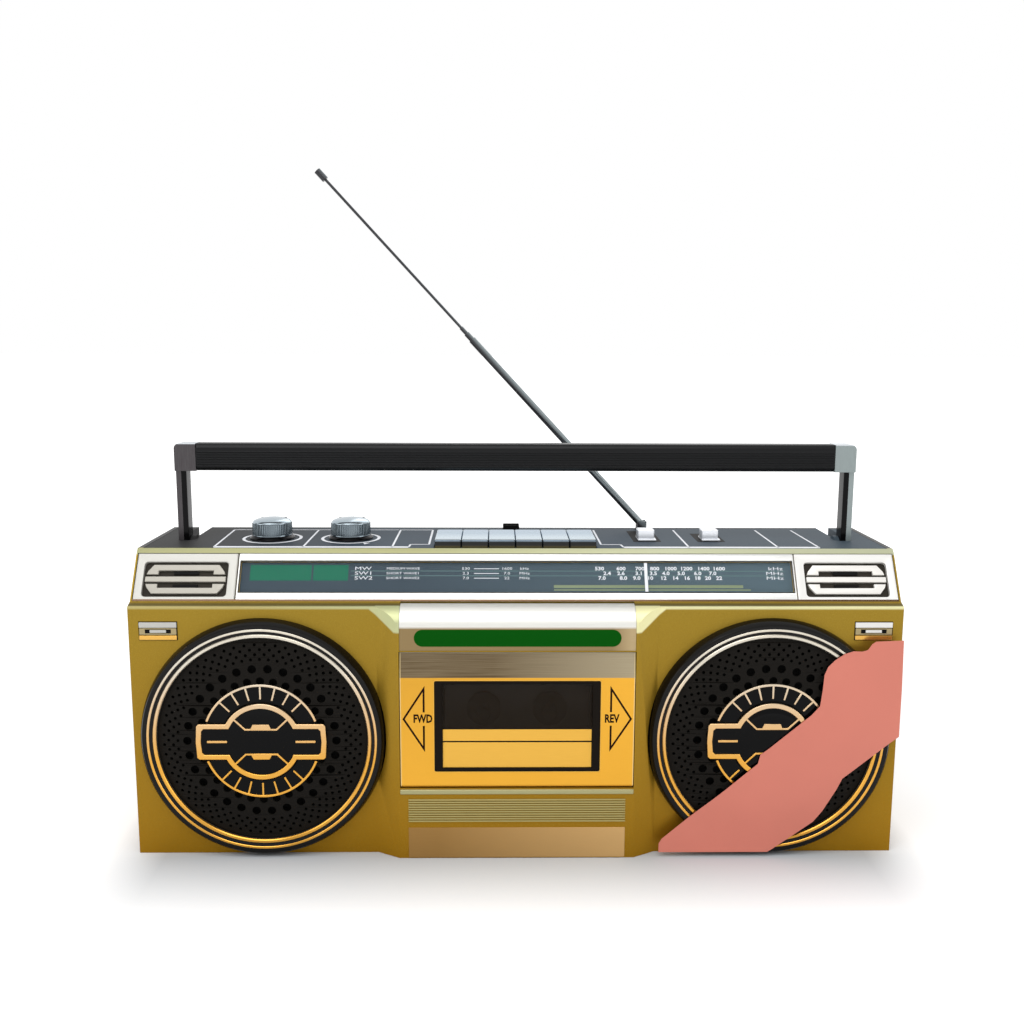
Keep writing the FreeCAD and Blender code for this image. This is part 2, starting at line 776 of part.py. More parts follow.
# ---- Top panel ----------------------------------------------------------------------
def top_panel():
    plate = box(-panel_half, panel_half, panel_front, panel_back, under, top)
    cuts = [box(key_x - key_span - key_gap, key_x + key_span + key_gap, key_front - 1.6, key_back + 0.6,
                under - 1, top + 1)]
    for x in (knob_1, knob_2):
        cuts.append(rod_z(x, knob_y, under - 1, top + 1, shaft_r + 0.4))
    for x, travel in ((slider_1, slider_1_travel), (slider_2, slider_2_travel)):
        cuts.append(box(x - 2.3, x + 2.3, slider_y - 3.3, slider_y + travel + 3.3, under - 1, top + 1))
    cuts.append(rod_z(aerial_x, aerial_y, under - 1, top + 1, 2.2 + run_fit))
    wells = []
    for side in (-1, 1):
        outer = box(well_in - well_wall, well_out + well_wall, arm_front - well_wall - 0.4, back,
                    well_floor - well_wall, top)
        inner = box(well_in, well_out, arm_front - 0.4, back + 1, well_floor, top + 1)
        boss = rod_x(well_in - well_wall, arm_in - 0.3, handle_y, handle_z, boss_r)
        pin = rod_x(well_in - 4, well_out + 4, handle_y, handle_z, pin_r + run_fit)
        well = joined(outer.cut(inner), boss).cut(pin)
        wells.append(well if side > 0 else mirrored(well))
        cuts.append(inner if side > 0 else mirrored(inner))
    return joined(plate.cut(cuts), *wells)


def control_knob(x):
    section = [
        (0, top + 0.6),
        (knob_r + 1.6, top + 0.6),
        (knob_r + 0.6, top + 2.4),
        (knob_r, top + 3.4),
        (knob_r - 0.3, top + knob_h - 1.6),
        (knob_r - 2.2, top + knob_h),
        (0, top + knob_h + 0.8),
    ]
    knob = turned_z(section, x, knob_y)
    return joined(knob, rod_z(x, knob_y, top - 14, top + 2, shaft_r))


def potentiometers():
    pots = []
    for x in (knob_1, knob_2):
        can = joined(rod_z(x, knob_y, top - 19, top - 8, 9.0), rod_z(x, knob_y, top - 9, under, 5.0))
        pots.append(can.cut(rod_z(x, knob_y, top - 15, top, shaft_r + run_fit)))
    return pots


def slider_knob(x):
    skirt = box(x - 6.7, x + 6.7, slider_y - 6.5, slider_y + 8, top + 0.1, top + 1.5)
    grip = box(x - 6.2, x + 6.2, slider_y - 5, slider_y + 5.5, top + 1, top + 7.5)
    stem = box(x - 2.2, x + 2.2, slider_y - 3, slider_y + 3, top - 6, top + 1)
    return joined(skirt, grip, stem)


def switch_bodies():
    bodies = []
    for x, travel in ((slider_1, slider_1_travel), (slider_2, slider_2_travel)):
        can = box(x - 8, x + 8, slider_y - 7, slider_y + travel + 7, top - 14, under)
        gap = box(x - 2.3, x + 2.3, slider_y - 3.3, slider_y + travel + 3.3, top - 7, top)
        bodies.append(can.cut(gap))
    return bodies


# ---- Tuning -------------------------------------------------------------------------
def tuning_knob():
    disc = rod_x(half + 0.3, half + 5, tuning_y, tuning_z, 14.0)
    spindle = rod_x(half - 30, half + 1, tuning_y, tuning_z, shaft_r)
    drum = rod_x(half - 14, half - 8.5, tuning_y, tuning_z, drum_r)
    groove = rod_x(half - 12.5, half - 10, tuning_y, tuning_z, drum_r + 1)
    groove = groove.cut(rod_x(half - 12.5, half - 10, tuning_y, tuning_z, drum_r - 1.5))
    return joined(disc, spindle, drum.cut(groove))


def tuning_capacitor():
    reach = capacitor_half
    can = box(half - 37.5, half - 16.5, tuning_y - reach, tuning_y + reach, tuning_z - reach, tuning_z + reach)
    return can.cut(rod_x(half - 31, half - 15, tuning_y, tuning_z, shaft_r + run_fit))


# ---- Handle -------------------------------------------------------------------------
def handle_arm():
    upright = box(arm_in, arm_out, arm_front, arm_back, handle_z, grip_low + 2)
    foot = rod_x(arm_in, arm_out, handle_y, handle_z, foot_r)
    corner = box(grip_half, corner_out, grip_front, grip_back, grip_low, grip_high)
    edges = [e for e in corner.Edges if abs(e.BoundBox.ZMin - grip_high) < 0.1
             and abs(e.BoundBox.XMin - corner_out) < 0.1]
    corner = corner.makeFillet(corner_round, edges)
    spigot = rod_x(grip_half - 12, grip_half + 1, (grip_front + grip_back) / 2, (grip_low + grip_high) / 2, 4.0)
    pin = rod_x(well_in - well_wall, well_out + well_wall, handle_y, handle_z, pin_r)
    return joined(upright, foot, corner, spigot, pin)


def handle_grip():
    bar = box(-grip_half, grip_half, grip_front, grip_back, grip_low, grip_high)
    edges = [e for e in bar.Edges if e.BoundBox.XLength > grip_half]
    bar = bar.makeFillet(4.0, edges)
    y = (grip_front + grip_back) / 2
    z = (grip_low + grip_high) / 2
    ends = [rod_x(-grip_half - 1, 12 - grip_half, y, z, 4.0), rod_x(grip_half - 12, grip_half + 1, y, z, 4.0)]
    return bar.cut(ends)


# ---- Aerial -------------------------------------------------------------------------
def leaned(shape):
    shape.rotate(V(aerial_x, aerial_y, aerial_z), V(0, 1, 0), -aerial_lean)
    return shape


def aerial_tube(r, start, end):
    return rod_z(aerial_x, aerial_y, aerial_z + start, aerial_z + end, r)


def antenna_base():
    foot = rod_z(aerial_x, aerial_y, top, top + aerial_foot_t, 4.6)
    stem = rod_z(aerial_x, aerial_y, top - 7, top + 0.5, 2.2)
    cheeks = box(aerial_x - 3.4, aerial_x + 3.4, aerial_y - cheek_half, aerial_y + cheek_half,
                 top + 0.3, aerial_z + 2.6)
    cheeks = cheeks.cut(box(aerial_x - 4, aerial_x + 4, aerial_y - cheek_gap_half, aerial_y + cheek_gap_half,
                            top + aerial_foot_t, aerial_z + 4))
    pin = rod_y(aerial_x, aerial_y - cheek_half, aerial_y + cheek_half, aerial_z, 1.2)
    return joined(foot, stem, cheeks, pin)


def antenna_section_1():
    reach = cheek_gap_half - 0.1
    eye = rod_y(aerial_x, aerial_y - reach, aerial_y + reach, aerial_z, aerial_eye_r)
    tube = aerial_tube(tube_1_r, 1.5, tube_1_end).cut(aerial_tube(tube_2_r + run_fit, 6, tube_1_end + 1))
    hole = rod_y(aerial_x, aerial_y - 3, aerial_y + 3, aerial_z, 1.2 + run_fit)
    return leaned(joined(eye, tube).cut(hole))


def antenna_section_2():
    tube = aerial_tube(tube_2_r, 12, tube_2_end)
    return leaned(tube.cut(aerial_tube(tube_3_r + run_fit, 14, tube_2_end + 1)))


def antenna_section_3():
    tube = aerial_tube(tube_3_r, 20, tube_3_end)
    return leaned(tube.cut(aerial_tube(tube_4_r + run_fit, 22, tube_3_end + 1)))


def antenna_section_4():
    thin = aerial_tube(tube_4_r, tube_4_end - 163, tube_4_end)
    tip = aerial_tube(2.3, tube_4_end, tube_4_end + tip_len)
    return leaned(joined(thin, tip))


def antenna_clip():
    half_y = clip_prong_y + clip_prong_half
    pad = box(clip_x - clip_half, clip_x + clip_half, aerial_y - half_y, aerial_y + half_y, top, top + clip_t)
    prongs = []
    for y in (aerial_y - clip_prong_y, aerial_y + clip_prong_y):
        prongs.append(box(clip_x - clip_half, clip_x + clip_half, y - clip_prong_half, y + clip_prong_half,
                          top, top + clip_high))
    return joined(pad, *prongs)


# ---- Electrical pieces --------------------------------------------------------------
def main_circuit_board():
    face = board_back - board_t
    z = board_high - 18
    board = box(-board_half, board_half, face, board_back, board_low, board_high)
    parts = []
    for x, w, h, d in ((-60, 10, 10, 9), (-35, 12, 8, 7), (0, 30, 12, 5), (40, 12, 12, 10)):
        parts.append(box(x - w / 2, x + w / 2, face - d, face + 0.2, z - h / 2, z + h / 2))
    return joined(board, *parts)


def power_transformer():
    core = box(core_x - core_half, core_x + core_half, seam + 8, seam + 30, wall, core_high)
    coil = box(core_x - coil_half, core_x + coil_half, seam + 3, seam + 35, wall + 7, core_high - 7)
    return joined(core, coil)


def ac_inlet():
    out = inlet_half
    up = inlet_rise
    cup = box(inlet_x - out, inlet_x + out, back - 18, back, jack_z - up, jack_z + up)
    lip = box(inlet_x - out - 2, inlet_x + out + 2, back - wall - 2, back - wall,
              jack_z - up - 2, jack_z + up + 2)
    well = box(inlet_x - out + 3, inlet_x + out - 3, back - 14, back + 1, jack_z - up + 3, jack_z + up - 3)
    pins = [rod_y(inlet_x + s * 4.3, back - 15, back - 7, jack_z, 1.2) for s in (-1, 1)]
    return joined(joined(cup, lip).cut(well), *pins)


def headphone_jack():
    barrel = rod_y(jack_x, back - 18, back, jack_z, jack_barrel_r)
    block = box(jack_x - 6, jack_x + 6, back - 18, back - wall, jack_z - 6, jack_z + 6)
    return joined(barrel, block).cut(rod_y(jack_x, back - 15, back + 1, jack_z, jack_r))


def screw(x, z, seat_y, length):
    shank = rod_y(x, seat_y - length, seat_y, z, screw_r)
    return joined(shank, rod_y(x, seat_y, seat_y + 2, z, screw_head_r))


def screws():
    made = []
    for side in (-1, 1):
        for x, z in boss_spots:
            made.append(screw(side * x, z, screw_seat, 14))
        for x, z in deck_spots:
            made.append(screw(side * x, z, deck_y + deck_t, 9))
        for x, z in speaker_spots:
            made.append(screw(side * speaker_x + x, speaker_z + z, front + wall + 2, 2))
    return Part.makeCompound(made)


# ---- Export -------------------------------------------------------------------------
save("front_cabinet", front_cabinet())
save("rear_cabinet", rear_cabinet())
save("top_panel", top_panel())
save("header_plate", header_plate())
save("name_plate", name_plate())
save("dial_frame", dial_frame())
save("dial_lens", dial_lens())
save("dial_scale_plate", dial_scale_plate())
save("dial_pointer", dial_pointer())
for piece, maker in (("corner_grille", corner_grille), ("speaker_ring", speaker_ring),
                     ("speaker_grille", speaker_grille), ("speaker_emblem", speaker_emblem),
                     ("handle_arm", handle_arm)):
    right_hand = maker()
    save(piece + "_right", right_hand)
    save(piece + "_left", mirrored(right_hand))
save("microphones", Part.makeCompound([microphone(), mirrored(microphone())]))
save("woofers", Part.makeCompound([woofer(), mirrored(woofer())]))
save("cassette_door", cassette_door())
save("door_window", door_window())
save("cassette_holder", cassette_holder())
save("deck_chassis", deck_chassis())
save("supply_reel_table", reel_table(-reel_half))
save("takeup_reel_table", reel_table(reel_half))
save("flywheel", flywheel())
save("motor_pulley", motor_pulley())
save("drive_motor", drive_motor())
save("drive_belt", drive_belt())
save("head_block", head_block())
save("pinch_roller", pinch_roller())
for index, key_name in enumerate(key_names):
    save(key_name, key_piece(index))
save("key_frame", key_frame())
save("volume_knob", control_knob(knob_1))
save("tone_knob", control_knob(knob_2))
save("function_switch_knob", slider_knob(slider_1))
save("band_switch_knob", slider_knob(slider_2))
save("control_bodies", Part.makeCompound(potentiometers() + switch_bodies()))
save("tuning_knob", tuning_knob())
save("tuning_capacitor", tuning_capacitor())
save("handle_grip", handle_grip())
save("antenna_base", antenna_base())
save("antenna_section_1", antenna_section_1())
save("antenna_section_2", antenna_section_2())
save("antenna_section_3", antenna_section_3())
save("antenna_section_4", antenna_section_4())
save("antenna_clip", antenna_clip())
save("battery_door", battery_door())
save("main_circuit_board", main_circuit_board())
save("power_transformer", power_transformer())
save("ac_inlet", ac_inlet())
save("headphone_jack", headphone_jack())
save("screws", screws())
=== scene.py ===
import math

import bpy
from bpy.props import FloatProperty, FloatVectorProperty, IntProperty, PointerProperty
from mathutils import Matrix, Vector


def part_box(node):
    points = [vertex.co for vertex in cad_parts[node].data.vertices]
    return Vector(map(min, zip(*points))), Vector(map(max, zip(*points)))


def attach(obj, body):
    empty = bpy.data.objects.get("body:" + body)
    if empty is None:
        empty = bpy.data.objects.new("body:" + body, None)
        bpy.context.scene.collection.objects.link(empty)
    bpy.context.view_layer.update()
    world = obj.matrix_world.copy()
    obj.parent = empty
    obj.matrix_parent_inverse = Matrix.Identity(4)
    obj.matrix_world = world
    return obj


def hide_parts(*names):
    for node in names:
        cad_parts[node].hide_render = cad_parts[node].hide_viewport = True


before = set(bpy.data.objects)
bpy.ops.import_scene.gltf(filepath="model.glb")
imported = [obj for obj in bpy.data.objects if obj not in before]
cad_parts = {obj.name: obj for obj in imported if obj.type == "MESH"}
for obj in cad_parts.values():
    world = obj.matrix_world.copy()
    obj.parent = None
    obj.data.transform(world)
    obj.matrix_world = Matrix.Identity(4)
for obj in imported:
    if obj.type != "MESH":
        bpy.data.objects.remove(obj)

bl_info = {
    "name": "Portable cassette recorder",
    "version": (1, 0, 0),
    "blender": (4, 5, 0),
    "location": "View3D > Sidebar > Recorder",
    "description": "Builds the finish of a gold portable stereo cassette recorder round its frame",
    "category": "Object",
}

MM = 0.001
PRINT = 0.05 * MM                        # how far print stands off its surface

# ---- Places read from the frame -----------------------------------------------------
FRONT_LO, FRONT_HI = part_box("front_cabinet")
REAR_LO, REAR_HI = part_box("rear_cabinet")
RING_LO, RING_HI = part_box("speaker_ring_left")
GRILLE_LO, GRILLE_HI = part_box("speaker_grille_left")
CORNER_LO, CORNER_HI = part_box("corner_grille_right")
DOOR_LO, DOOR_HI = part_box("cassette_door")
WINDOW_LO, WINDOW_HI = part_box("door_window")
NAME_LO, NAME_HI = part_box("name_plate")
MIC_LO, MIC_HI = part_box("microphones")
PANEL_LO, PANEL_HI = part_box("top_panel")
GRIP_LO, GRIP_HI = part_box("handle_grip")
POINTER_LO, POINTER_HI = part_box("dial_pointer")
BADGE_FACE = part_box("speaker_emblem_right")[0][1]
ARM_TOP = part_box("handle_arm_right")[1][2]

HALF = FRONT_HI[0]
TOP = REAR_HI[2]
BACK = REAR_HI[1]
CENTRE = FRONT_LO[1]                     # face of the proud centre section
BAFFLE = RING_HI[1]                      # face of the speaker baffles
BLOCK = TOP - 32.6 * MM                  # top of the upright front
SLOPE_RUN = 17.2 * MM
SLOPE_RISE = 28.1 * MM
SLOPE_LEAN = math.atan2(SLOPE_RUN, SLOPE_RISE)
FOOT = Vector((0, BAFFLE + 5.5 * MM, TOP - 30.4 * MM))  # foot of the slanted bank
SPEAKER_X = -(RING_LO[0] + RING_HI[0]) / 2
SPEAKER_Z = (RING_LO[2] + RING_HI[2]) / 2
RING_R = (RING_HI[2] - RING_LO[2]) / 2
GRILLE_R = (GRILLE_HI[2] - GRILLE_LO[2]) / 2
GRILLE_FACE = GRILLE_LO[1]
GRILLE_EDGE = 4.2 * MM                   # how far the grille's rim stands before the baffle
DOOR_HALF = DOOR_HI[0] - 2.2 * MM        # the hinge stubs run out past the leaf
BEND = DOOR_LO[2] + 72.0 * MM            # crease across the door's sheet
HEADER_TURN = BLOCK - 11.5 * MM          # where the header starts to roll back
DIAL_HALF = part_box("dial_frame")[1][0]
ARM_IN = HALF - 24.7 * MM                # inner face of a handle arm
DIAL_LOW, DIAL_HIGH = 6.3 * MM, 27.0 * MM    # the dial opening, up the slope
BANK_LOW, BANK_HIGH = 0.4 * MM, 32.2 * MM    # the trim that frames it
KEYS = ("record_key", "play_key", "rewind_key", "fast_forward_key", "stop_eject_key", "pause_key")


# ---- Frames in which flat work is laid out ------------------------------------------
def facing_front(y):
    """u to the right, v upwards, w out of the front, from a plane at y."""
    return Matrix.Translation((0, y, 0)) @ Matrix.Rotation(math.pi / 2, 4, "X")


def facing_up(z):
    return Matrix.Translation((0, 0, z))


def on_slope(w=0.0):
    """u to the right, v up the slope from its foot, w out of the dial's face."""
    lean = Matrix.Translation(FOOT) @ Matrix.Rotation(math.pi / 2 - SLOPE_LEAN, 4, "X")
    return lean @ Matrix.Translation((0, 0, w))


# ---- Modelling steps ----------------------------------------------------------------
def only(*objs):
    """Select these objects and nothing else."""
    bpy.ops.object.select_all(action="DESELECT")
    for obj in objs:
        obj.select_set(True)
    bpy.context.view_layer.objects.active = objs[0]


def settle(obj, matrix=None):
    """Move obj into its frame and put its place into its mesh."""
    if matrix is not None:
        obj.matrix_world = matrix @ obj.matrix_world
    only(obj)
    bpy.ops.object.transform_apply(location=True, rotation=True, scale=True)
    return obj


def clean(obj, distance=1e-6):
    """Merge doubles and turn every face outwards."""
    only(obj)
    bpy.ops.object.mode_set(mode="EDIT")
    bpy.ops.mesh.select_all(action="SELECT")
    bpy.ops.mesh.remove_doubles(threshold=distance)
    bpy.ops.mesh.normals_make_consistent(inside=False)
    bpy.ops.object.mode_set(mode="OBJECT")
    return obj


def smooth(obj, degrees=32):
    only(obj)
    bpy.ops.object.shade_smooth_by_angle(angle=math.radians(degrees))
    return obj


def modify(obj, kind, **settings):
    """Add a modifier, set it and apply it."""
    modifier = obj.modifiers.new(kind.title(), kind)
    for key, value in settings.items():
        setattr(modifier, key, value)
    only(obj)
    bpy.ops.object.modifier_apply(modifier=modifier.name)
    return obj


def rounded(obj, width, segments=2, degrees=30):
    """Round the edges sharper than an angle."""
    modify(obj, "BEVEL", width=width, segments=segments, limit_method="ANGLE",
           angle_limit=math.radians(degrees), use_clamp_overlap=True)
    smooth(obj)
    return modify(obj, "WEIGHTED_NORMAL", keep_sharp=True, weight=100)


def block(name, lo, hi, rounding=0.3 * MM, segments=2):
    """A cube brought to its corners and given rounded edges."""
    lo = Vector(lo)
    hi = Vector(hi)
    bpy.ops.mesh.primitive_cube_add(size=1, location=(lo + hi) / 2)
    obj = bpy.context.object
    obj.name = name
    obj.scale = hi - lo
    settle(obj)
    return rounded(obj, rounding, segments)


def turned(name, profile, matrix, steps=96, capped=True):
    """Turn an (r, w) profile: a circle extruded and resized from point to point."""
    r0, w0 = profile[0]
    fill = "NGON" if capped else "NOTHING"
    bpy.ops.mesh.primitive_circle_add(vertices=steps, radius=r0, location=(0, 0, w0), fill_type=fill)
    obj = bpy.context.object
    obj.name = name
    settle(obj)
    bpy.ops.object.mode_set(mode="EDIT")
    bpy.ops.mesh.select_all(action="SELECT")
    for r, w in profile[1:]:
        step = {"value": (0, 0, w - w0)}
        if capped:
            bpy.ops.mesh.extrude_region_move(TRANSFORM_OT_translate=step)
        else:
            bpy.ops.mesh.extrude_edges_move(TRANSFORM_OT_translate=step)
        bpy.ops.transform.resize(value=(r / r0, r / r0, 1), center_override=(0, 0, w))
        r0, w0 = r, w
    bpy.ops.object.mode_set(mode="OBJECT")
    settle(obj, matrix)
    return smooth(clean(obj))


def ring(name, r_in, r_out, w0, w1, matrix, rounding=0.25 * MM, steps=96):
    """A flat ring with eased corners."""
    b = rounding
    profile = [
        (r_in, w0), (r_out, w0), (r_out, w1 - b), (r_out - b, w1),
        (r_in + b, w1), (r_in, w1 - b), (r_in, w0),
    ]
    return turned(name, profile, matrix, steps, capped=False)


def mm(pairs):
    """Pairs of millimetres as pairs of metres."""
    return [(a * MM, b * MM) for a, b in pairs]


def circle(cx, cy, r, steps=32):
    return [(cx + r * math.cos(2 * math.pi * i / steps), cy + r * math.sin(2 * math.pi * i / steps))
            for i in range(steps)]


def rectangle(x0, x1, y0, y1, r=0.0, steps=5):
    """A rectangle's outline, with its corners rounded to r."""
    if r <= 0:
        return [(x0, y0), (x1, y0), (x1, y1), (x0, y1)]
    loop = []
    corners = ((x1 - r, y0 + r, -90), (x1 - r, y1 - r, 0), (x0 + r, y1 - r, 90), (x0 + r, y0 + r, 180))
    for cx, cy, start in corners:
        for i in range(steps + 1):
            a = math.radians(start + 90 * i / steps)
            loop.append((cx + r * math.cos(a), cy + r * math.sin(a)))
    return loop


def centred(half, y0, y1, r=0.0, steps=5):
    """A rectangle as far to the left of the middle as to the right."""
    return rectangle(-half, half, y0, y1, r, steps)


def around(lo, hi, side, low, high, r):
    """A rectangle that stands round a node's front by so many millimetres at the sides, below and above."""
    return rectangle(lo[0] - side * MM, hi[0] + side * MM, lo[2] - low * MM, hi[2] + high * MM, r * MM)


def arc(cx, cy, r, start, end, steps=24):
    return [(cx + r * math.cos(math.radians(start + (end - start) * i / steps)),
             cy + r * math.sin(math.radians(start + (end - start) * i / steps))) for i in range(steps + 1)]


def ribbon(points, width):
    """The outline of an open line drawn with a constant width and mitred corners."""
    left = []
    right = []
    for i, (x, y) in enumerate(points):
        before = Vector(points[max(i - 1, 0)])
        after = Vector(points[min(i + 1, len(points) - 1)])
        here = Vector((x, y))
        d1 = (here - before).normalized() if i else (after - here).normalized()
        d2 = (after - here).normalized() if i < len(points) - 1 else d1
        along = (d1 + d2).normalized()
        reach = width / 2 / max(along.dot(d1), 0.3)
        side = Vector((-along.y, along.x)) * reach
        left.append((x + side.x, y + side.y))
        right.append((x - side.x, y - side.y))
    return left + right[::-1]


def plate(name, loops, matrix, thickness, w=0.0, rounding=0.0):
    """A flat piece cut to outlines; an outline inside another is a hole."""
    data = bpy.data.curves.new(name, "CURVE")
    data.dimensions = "2D"
    data.fill_mode = "BOTH"
    data.extrude = thickness / 2 - rounding
    data.bevel_depth = rounding
    data.bevel_resolution = 1
    data.offset = -rounding
    for loop in loops:
        line = data.splines.new("POLY")
        line.points.add(len(loop) - 1)
        for point, (x, y) in zip(line.points, loop):
            point.co = (x, y, 0, 1)
        line.use_cyclic_u = True
    obj = bpy.data.objects.new(name, data)
    bpy.context.collection.objects.link(obj)
    only(obj)
    bpy.ops.object.convert(target="MESH")
    obj = bpy.context.object
    obj.location = (0, 0, w + thickness / 2)
    settle(obj)
    settle(obj, matrix)
    return clean(obj, 2e-6)


def words(name, text, at, size, matrix, stretch=1.0, align="CENTER", bold=0.0):
    """Raised print on a surface."""
    bpy.ops.object.text_add(location=(0, 0, 0))
    obj = bpy.context.object
    obj.name = name
    obj.data.body = text
    obj.data.size = size
    obj.data.align_x = align
    obj.data.align_y = "CENTER"
    obj.data.extrude = PRINT / 2
    obj.data.offset = bold
    obj.data.resolution_u = 2
    only(obj)
    bpy.ops.object.convert(target="MESH")
    obj = bpy.context.object
    obj.scale = (stretch, 1, 1)
    obj.location = (at[0], at[1], PRINT / 2)
    settle(obj)
    return settle(obj, matrix)


def sliced(obj, axis, places):
    """Cut edges into a flat piece along planes square to an axis."""
    normal = [0, 0, 0]
    normal[axis] = 1
    only(obj)
    bpy.ops.object.mode_set(mode="EDIT")
    for place in places:
        bpy.ops.mesh.select_all(action="SELECT")
        bpy.ops.mesh.bisect(plane_co=[place * n for n in normal], plane_no=normal)
    bpy.ops.object.mode_set(mode="OBJECT")
    return obj


def swollen(obj, rise):
    """Push a piece out of the front by an amount that depends on the distance from the speaker's middle."""
    for vertex in obj.data.vertices:
        r = math.hypot(vertex.co.x - SPEAKER_X, vertex.co.z - SPEAKER_Z)
        vertex.co.y -= rise(r)
    obj.data.update()
    return obj


def joined(name, parts):
    only(*parts)
    bpy.ops.object.join()
    obj = bpy.context.object
    obj.name = name
    return obj


def mirrored(obj, name):
    """A copy on the other side of the middle plane."""
    other = obj.copy()
    other.data = obj.data.copy()
    other.name = name
    bpy.context.collection.objects.link(other)
    other.scale = (-1, 1, 1)
    settle(other)
    return modify(clean(other, 1e-7), "WEIGHTED_NORMAL", keep_sharp=True, weight=100)


def sided(made, name, side):
    """The right-hand piece itself, or its mirrored copy."""
    title = name + "_" + side
    obj = made if side == "right" else mirrored(made, title)
    obj.name = title
    return obj


def refined(node, width, segments=2, degrees=35):
    """A merged copy of a construction node with its edges rounded; it stands for the node."""
    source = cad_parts[node]
    obj = source.copy()
    obj.data = source.data.copy()
    obj.name = node + "_shell"
    obj.parent = None
    obj.matrix_world = source.matrix_world
    bpy.context.collection.objects.link(obj)
    only(obj)
    bpy.ops.object.mode_set(mode="EDIT")
    bpy.ops.mesh.select_all(action="SELECT")
    bpy.ops.mesh.remove_doubles(threshold=5e-6)
    bpy.ops.mesh.dissolve_limited(angle_limit=math.radians(1.0))
    bpy.ops.mesh.select_all(action="DESELECT")
    bpy.ops.object.mode_set(mode="OBJECT")
    rounded(obj, width, segments, degrees)
    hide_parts(node)
    return obj


def dress(obj, look, body):
    """Give a piece its finish and the body that carries it."""
    obj.data.materials.clear()
    obj.data.materials.append(finish(look))
    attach(obj, body)
    return obj


def coat(node, look):
    """Put a finish on a construction node that stays in sight."""
    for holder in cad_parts[node].material_slots:
        holder.material = finish(look)


# ---- Finishes -----------------------------------------------------------------------
def tint(colour, alpha=1.0):
    """A display colour as the linear one that shaders use."""
    linear = [c / 12.92 if c <= 0.04045 else ((c + 0.055) / 1.055) ** 2.4 for c in colour[:3]]
    return (*linear, alpha)


def shade(colour, factor):
    return [c * factor for c in colour]


class Wire:
    """One number socket; the usual signs add the Math nodes for it."""

    def __init__(self, finish, socket):
        self.finish = finish
        self.socket = socket

    def _math(self, kind, first, second):
        return self.finish.node("ShaderNodeMath", {"operation": kind}, {0: first, 1: second})

    def __add__(self, other):
        return self._math("ADD", self, other)

    __radd__ = __add__

    def __sub__(self, other):
        return self._math("SUBTRACT", self, other)

    def __rsub__(self, other):
        return self._math("SUBTRACT", other, self)

    def __mul__(self, other):
        return self._math("MULTIPLY", self, other)

    __rmul__ = __mul__

    def __truediv__(self, other):
        return self._math("DIVIDE", self, other)

    def __abs__(self):
        return self._math("ABSOLUTE", self, 0.0)

    def above(self, edge, soft):
        """0 below an edge and 1 above it, over a soft width."""
        ramp = {0: self, 1: edge - soft / 2, 2: edge + soft / 2, 3: 0.0, 4: 1.0}
        return self.finish.node("ShaderNodeMapRange", {"clamp": True}, ramp)


class Finish:
    """A material and the nodes that make it."""

    def __init__(self, name, colour, metallic=0.0, roughness=0.5, shine=0.5):
        self.material = bpy.data.materials.new(name)
        self.material.use_nodes = True
        self.tree = self.material.node_tree
        self.shader = self.tree.nodes["Principled BSDF"]
        self.feed("Base Color", tint(colour))
        self.feed("Metallic", metallic)
        self.feed("Roughness", roughness)
        self.feed("Specular IOR Level", shine)

    def feed(self, socket, value):
        self._join(self.shader.inputs[socket], value)

    def _join(self, socket, value):
        if isinstance(value, Wire):
            self.tree.links.new(value.socket, socket)
        else:
            socket.default_value = value

    def node(self, kind, settings=None, sockets=None, output=0):
        made = self.tree.nodes.new(kind)
        for key, value in (settings or {}).items():
            setattr(made, key, value)
        for key, value in (sockets or {}).items():
            self._join(made.inputs[key], value)
        return Wire(self, made.outputs[output])

    def place(self, stretch=(1, 1, 1)):
        """The piece's own coordinates, stretched."""
        coordinates = self.node("ShaderNodeTexCoord", output="Object")
        return self.node("ShaderNodeMapping", None, {"Vector": coordinates, "Scale": stretch})

    def axis(self, index):
        return self.node("ShaderNodeSeparateXYZ", None, {0: self.place()}, output=index)

    def noise(self, scale, detail=3.0, stretch=(1, 1, 1)):
        sockets = {"Vector": self.place(stretch), "Scale": scale, "Detail": detail, "Roughness": 0.55}
        return self.node("ShaderNodeTexNoise", None, sockets)

    def blend(self, amount, low, high):
        """A colour between two, by a number; three numbers are a display colour."""
        low, high = [c if isinstance(c, Wire) or len(c) > 3 else tint(c) for c in (low, high)]
        return self.node("ShaderNodeMix", {"data_type": "RGBA"}, {0: amount, 6: low, 7: high}, output=2)

    def bump(self, height, strength, distance):
        sockets = {"Height": height, "Strength": strength, "Distance": distance}
        self.feed("Normal", self.node("ShaderNodeBump", None, sockets))


FINISHES = {}


def finish(name):
    """Each finish is made once."""
    if name not in FINISHES:
        settings = bpy.context.scene.recorder_finish
        maker, *told = LOOKS[name]
        told = [getattr(settings, word) if isinstance(word, str) else word for word in told]
        FINISHES[name] = maker(name, *told).material
    return FINISHES[name]


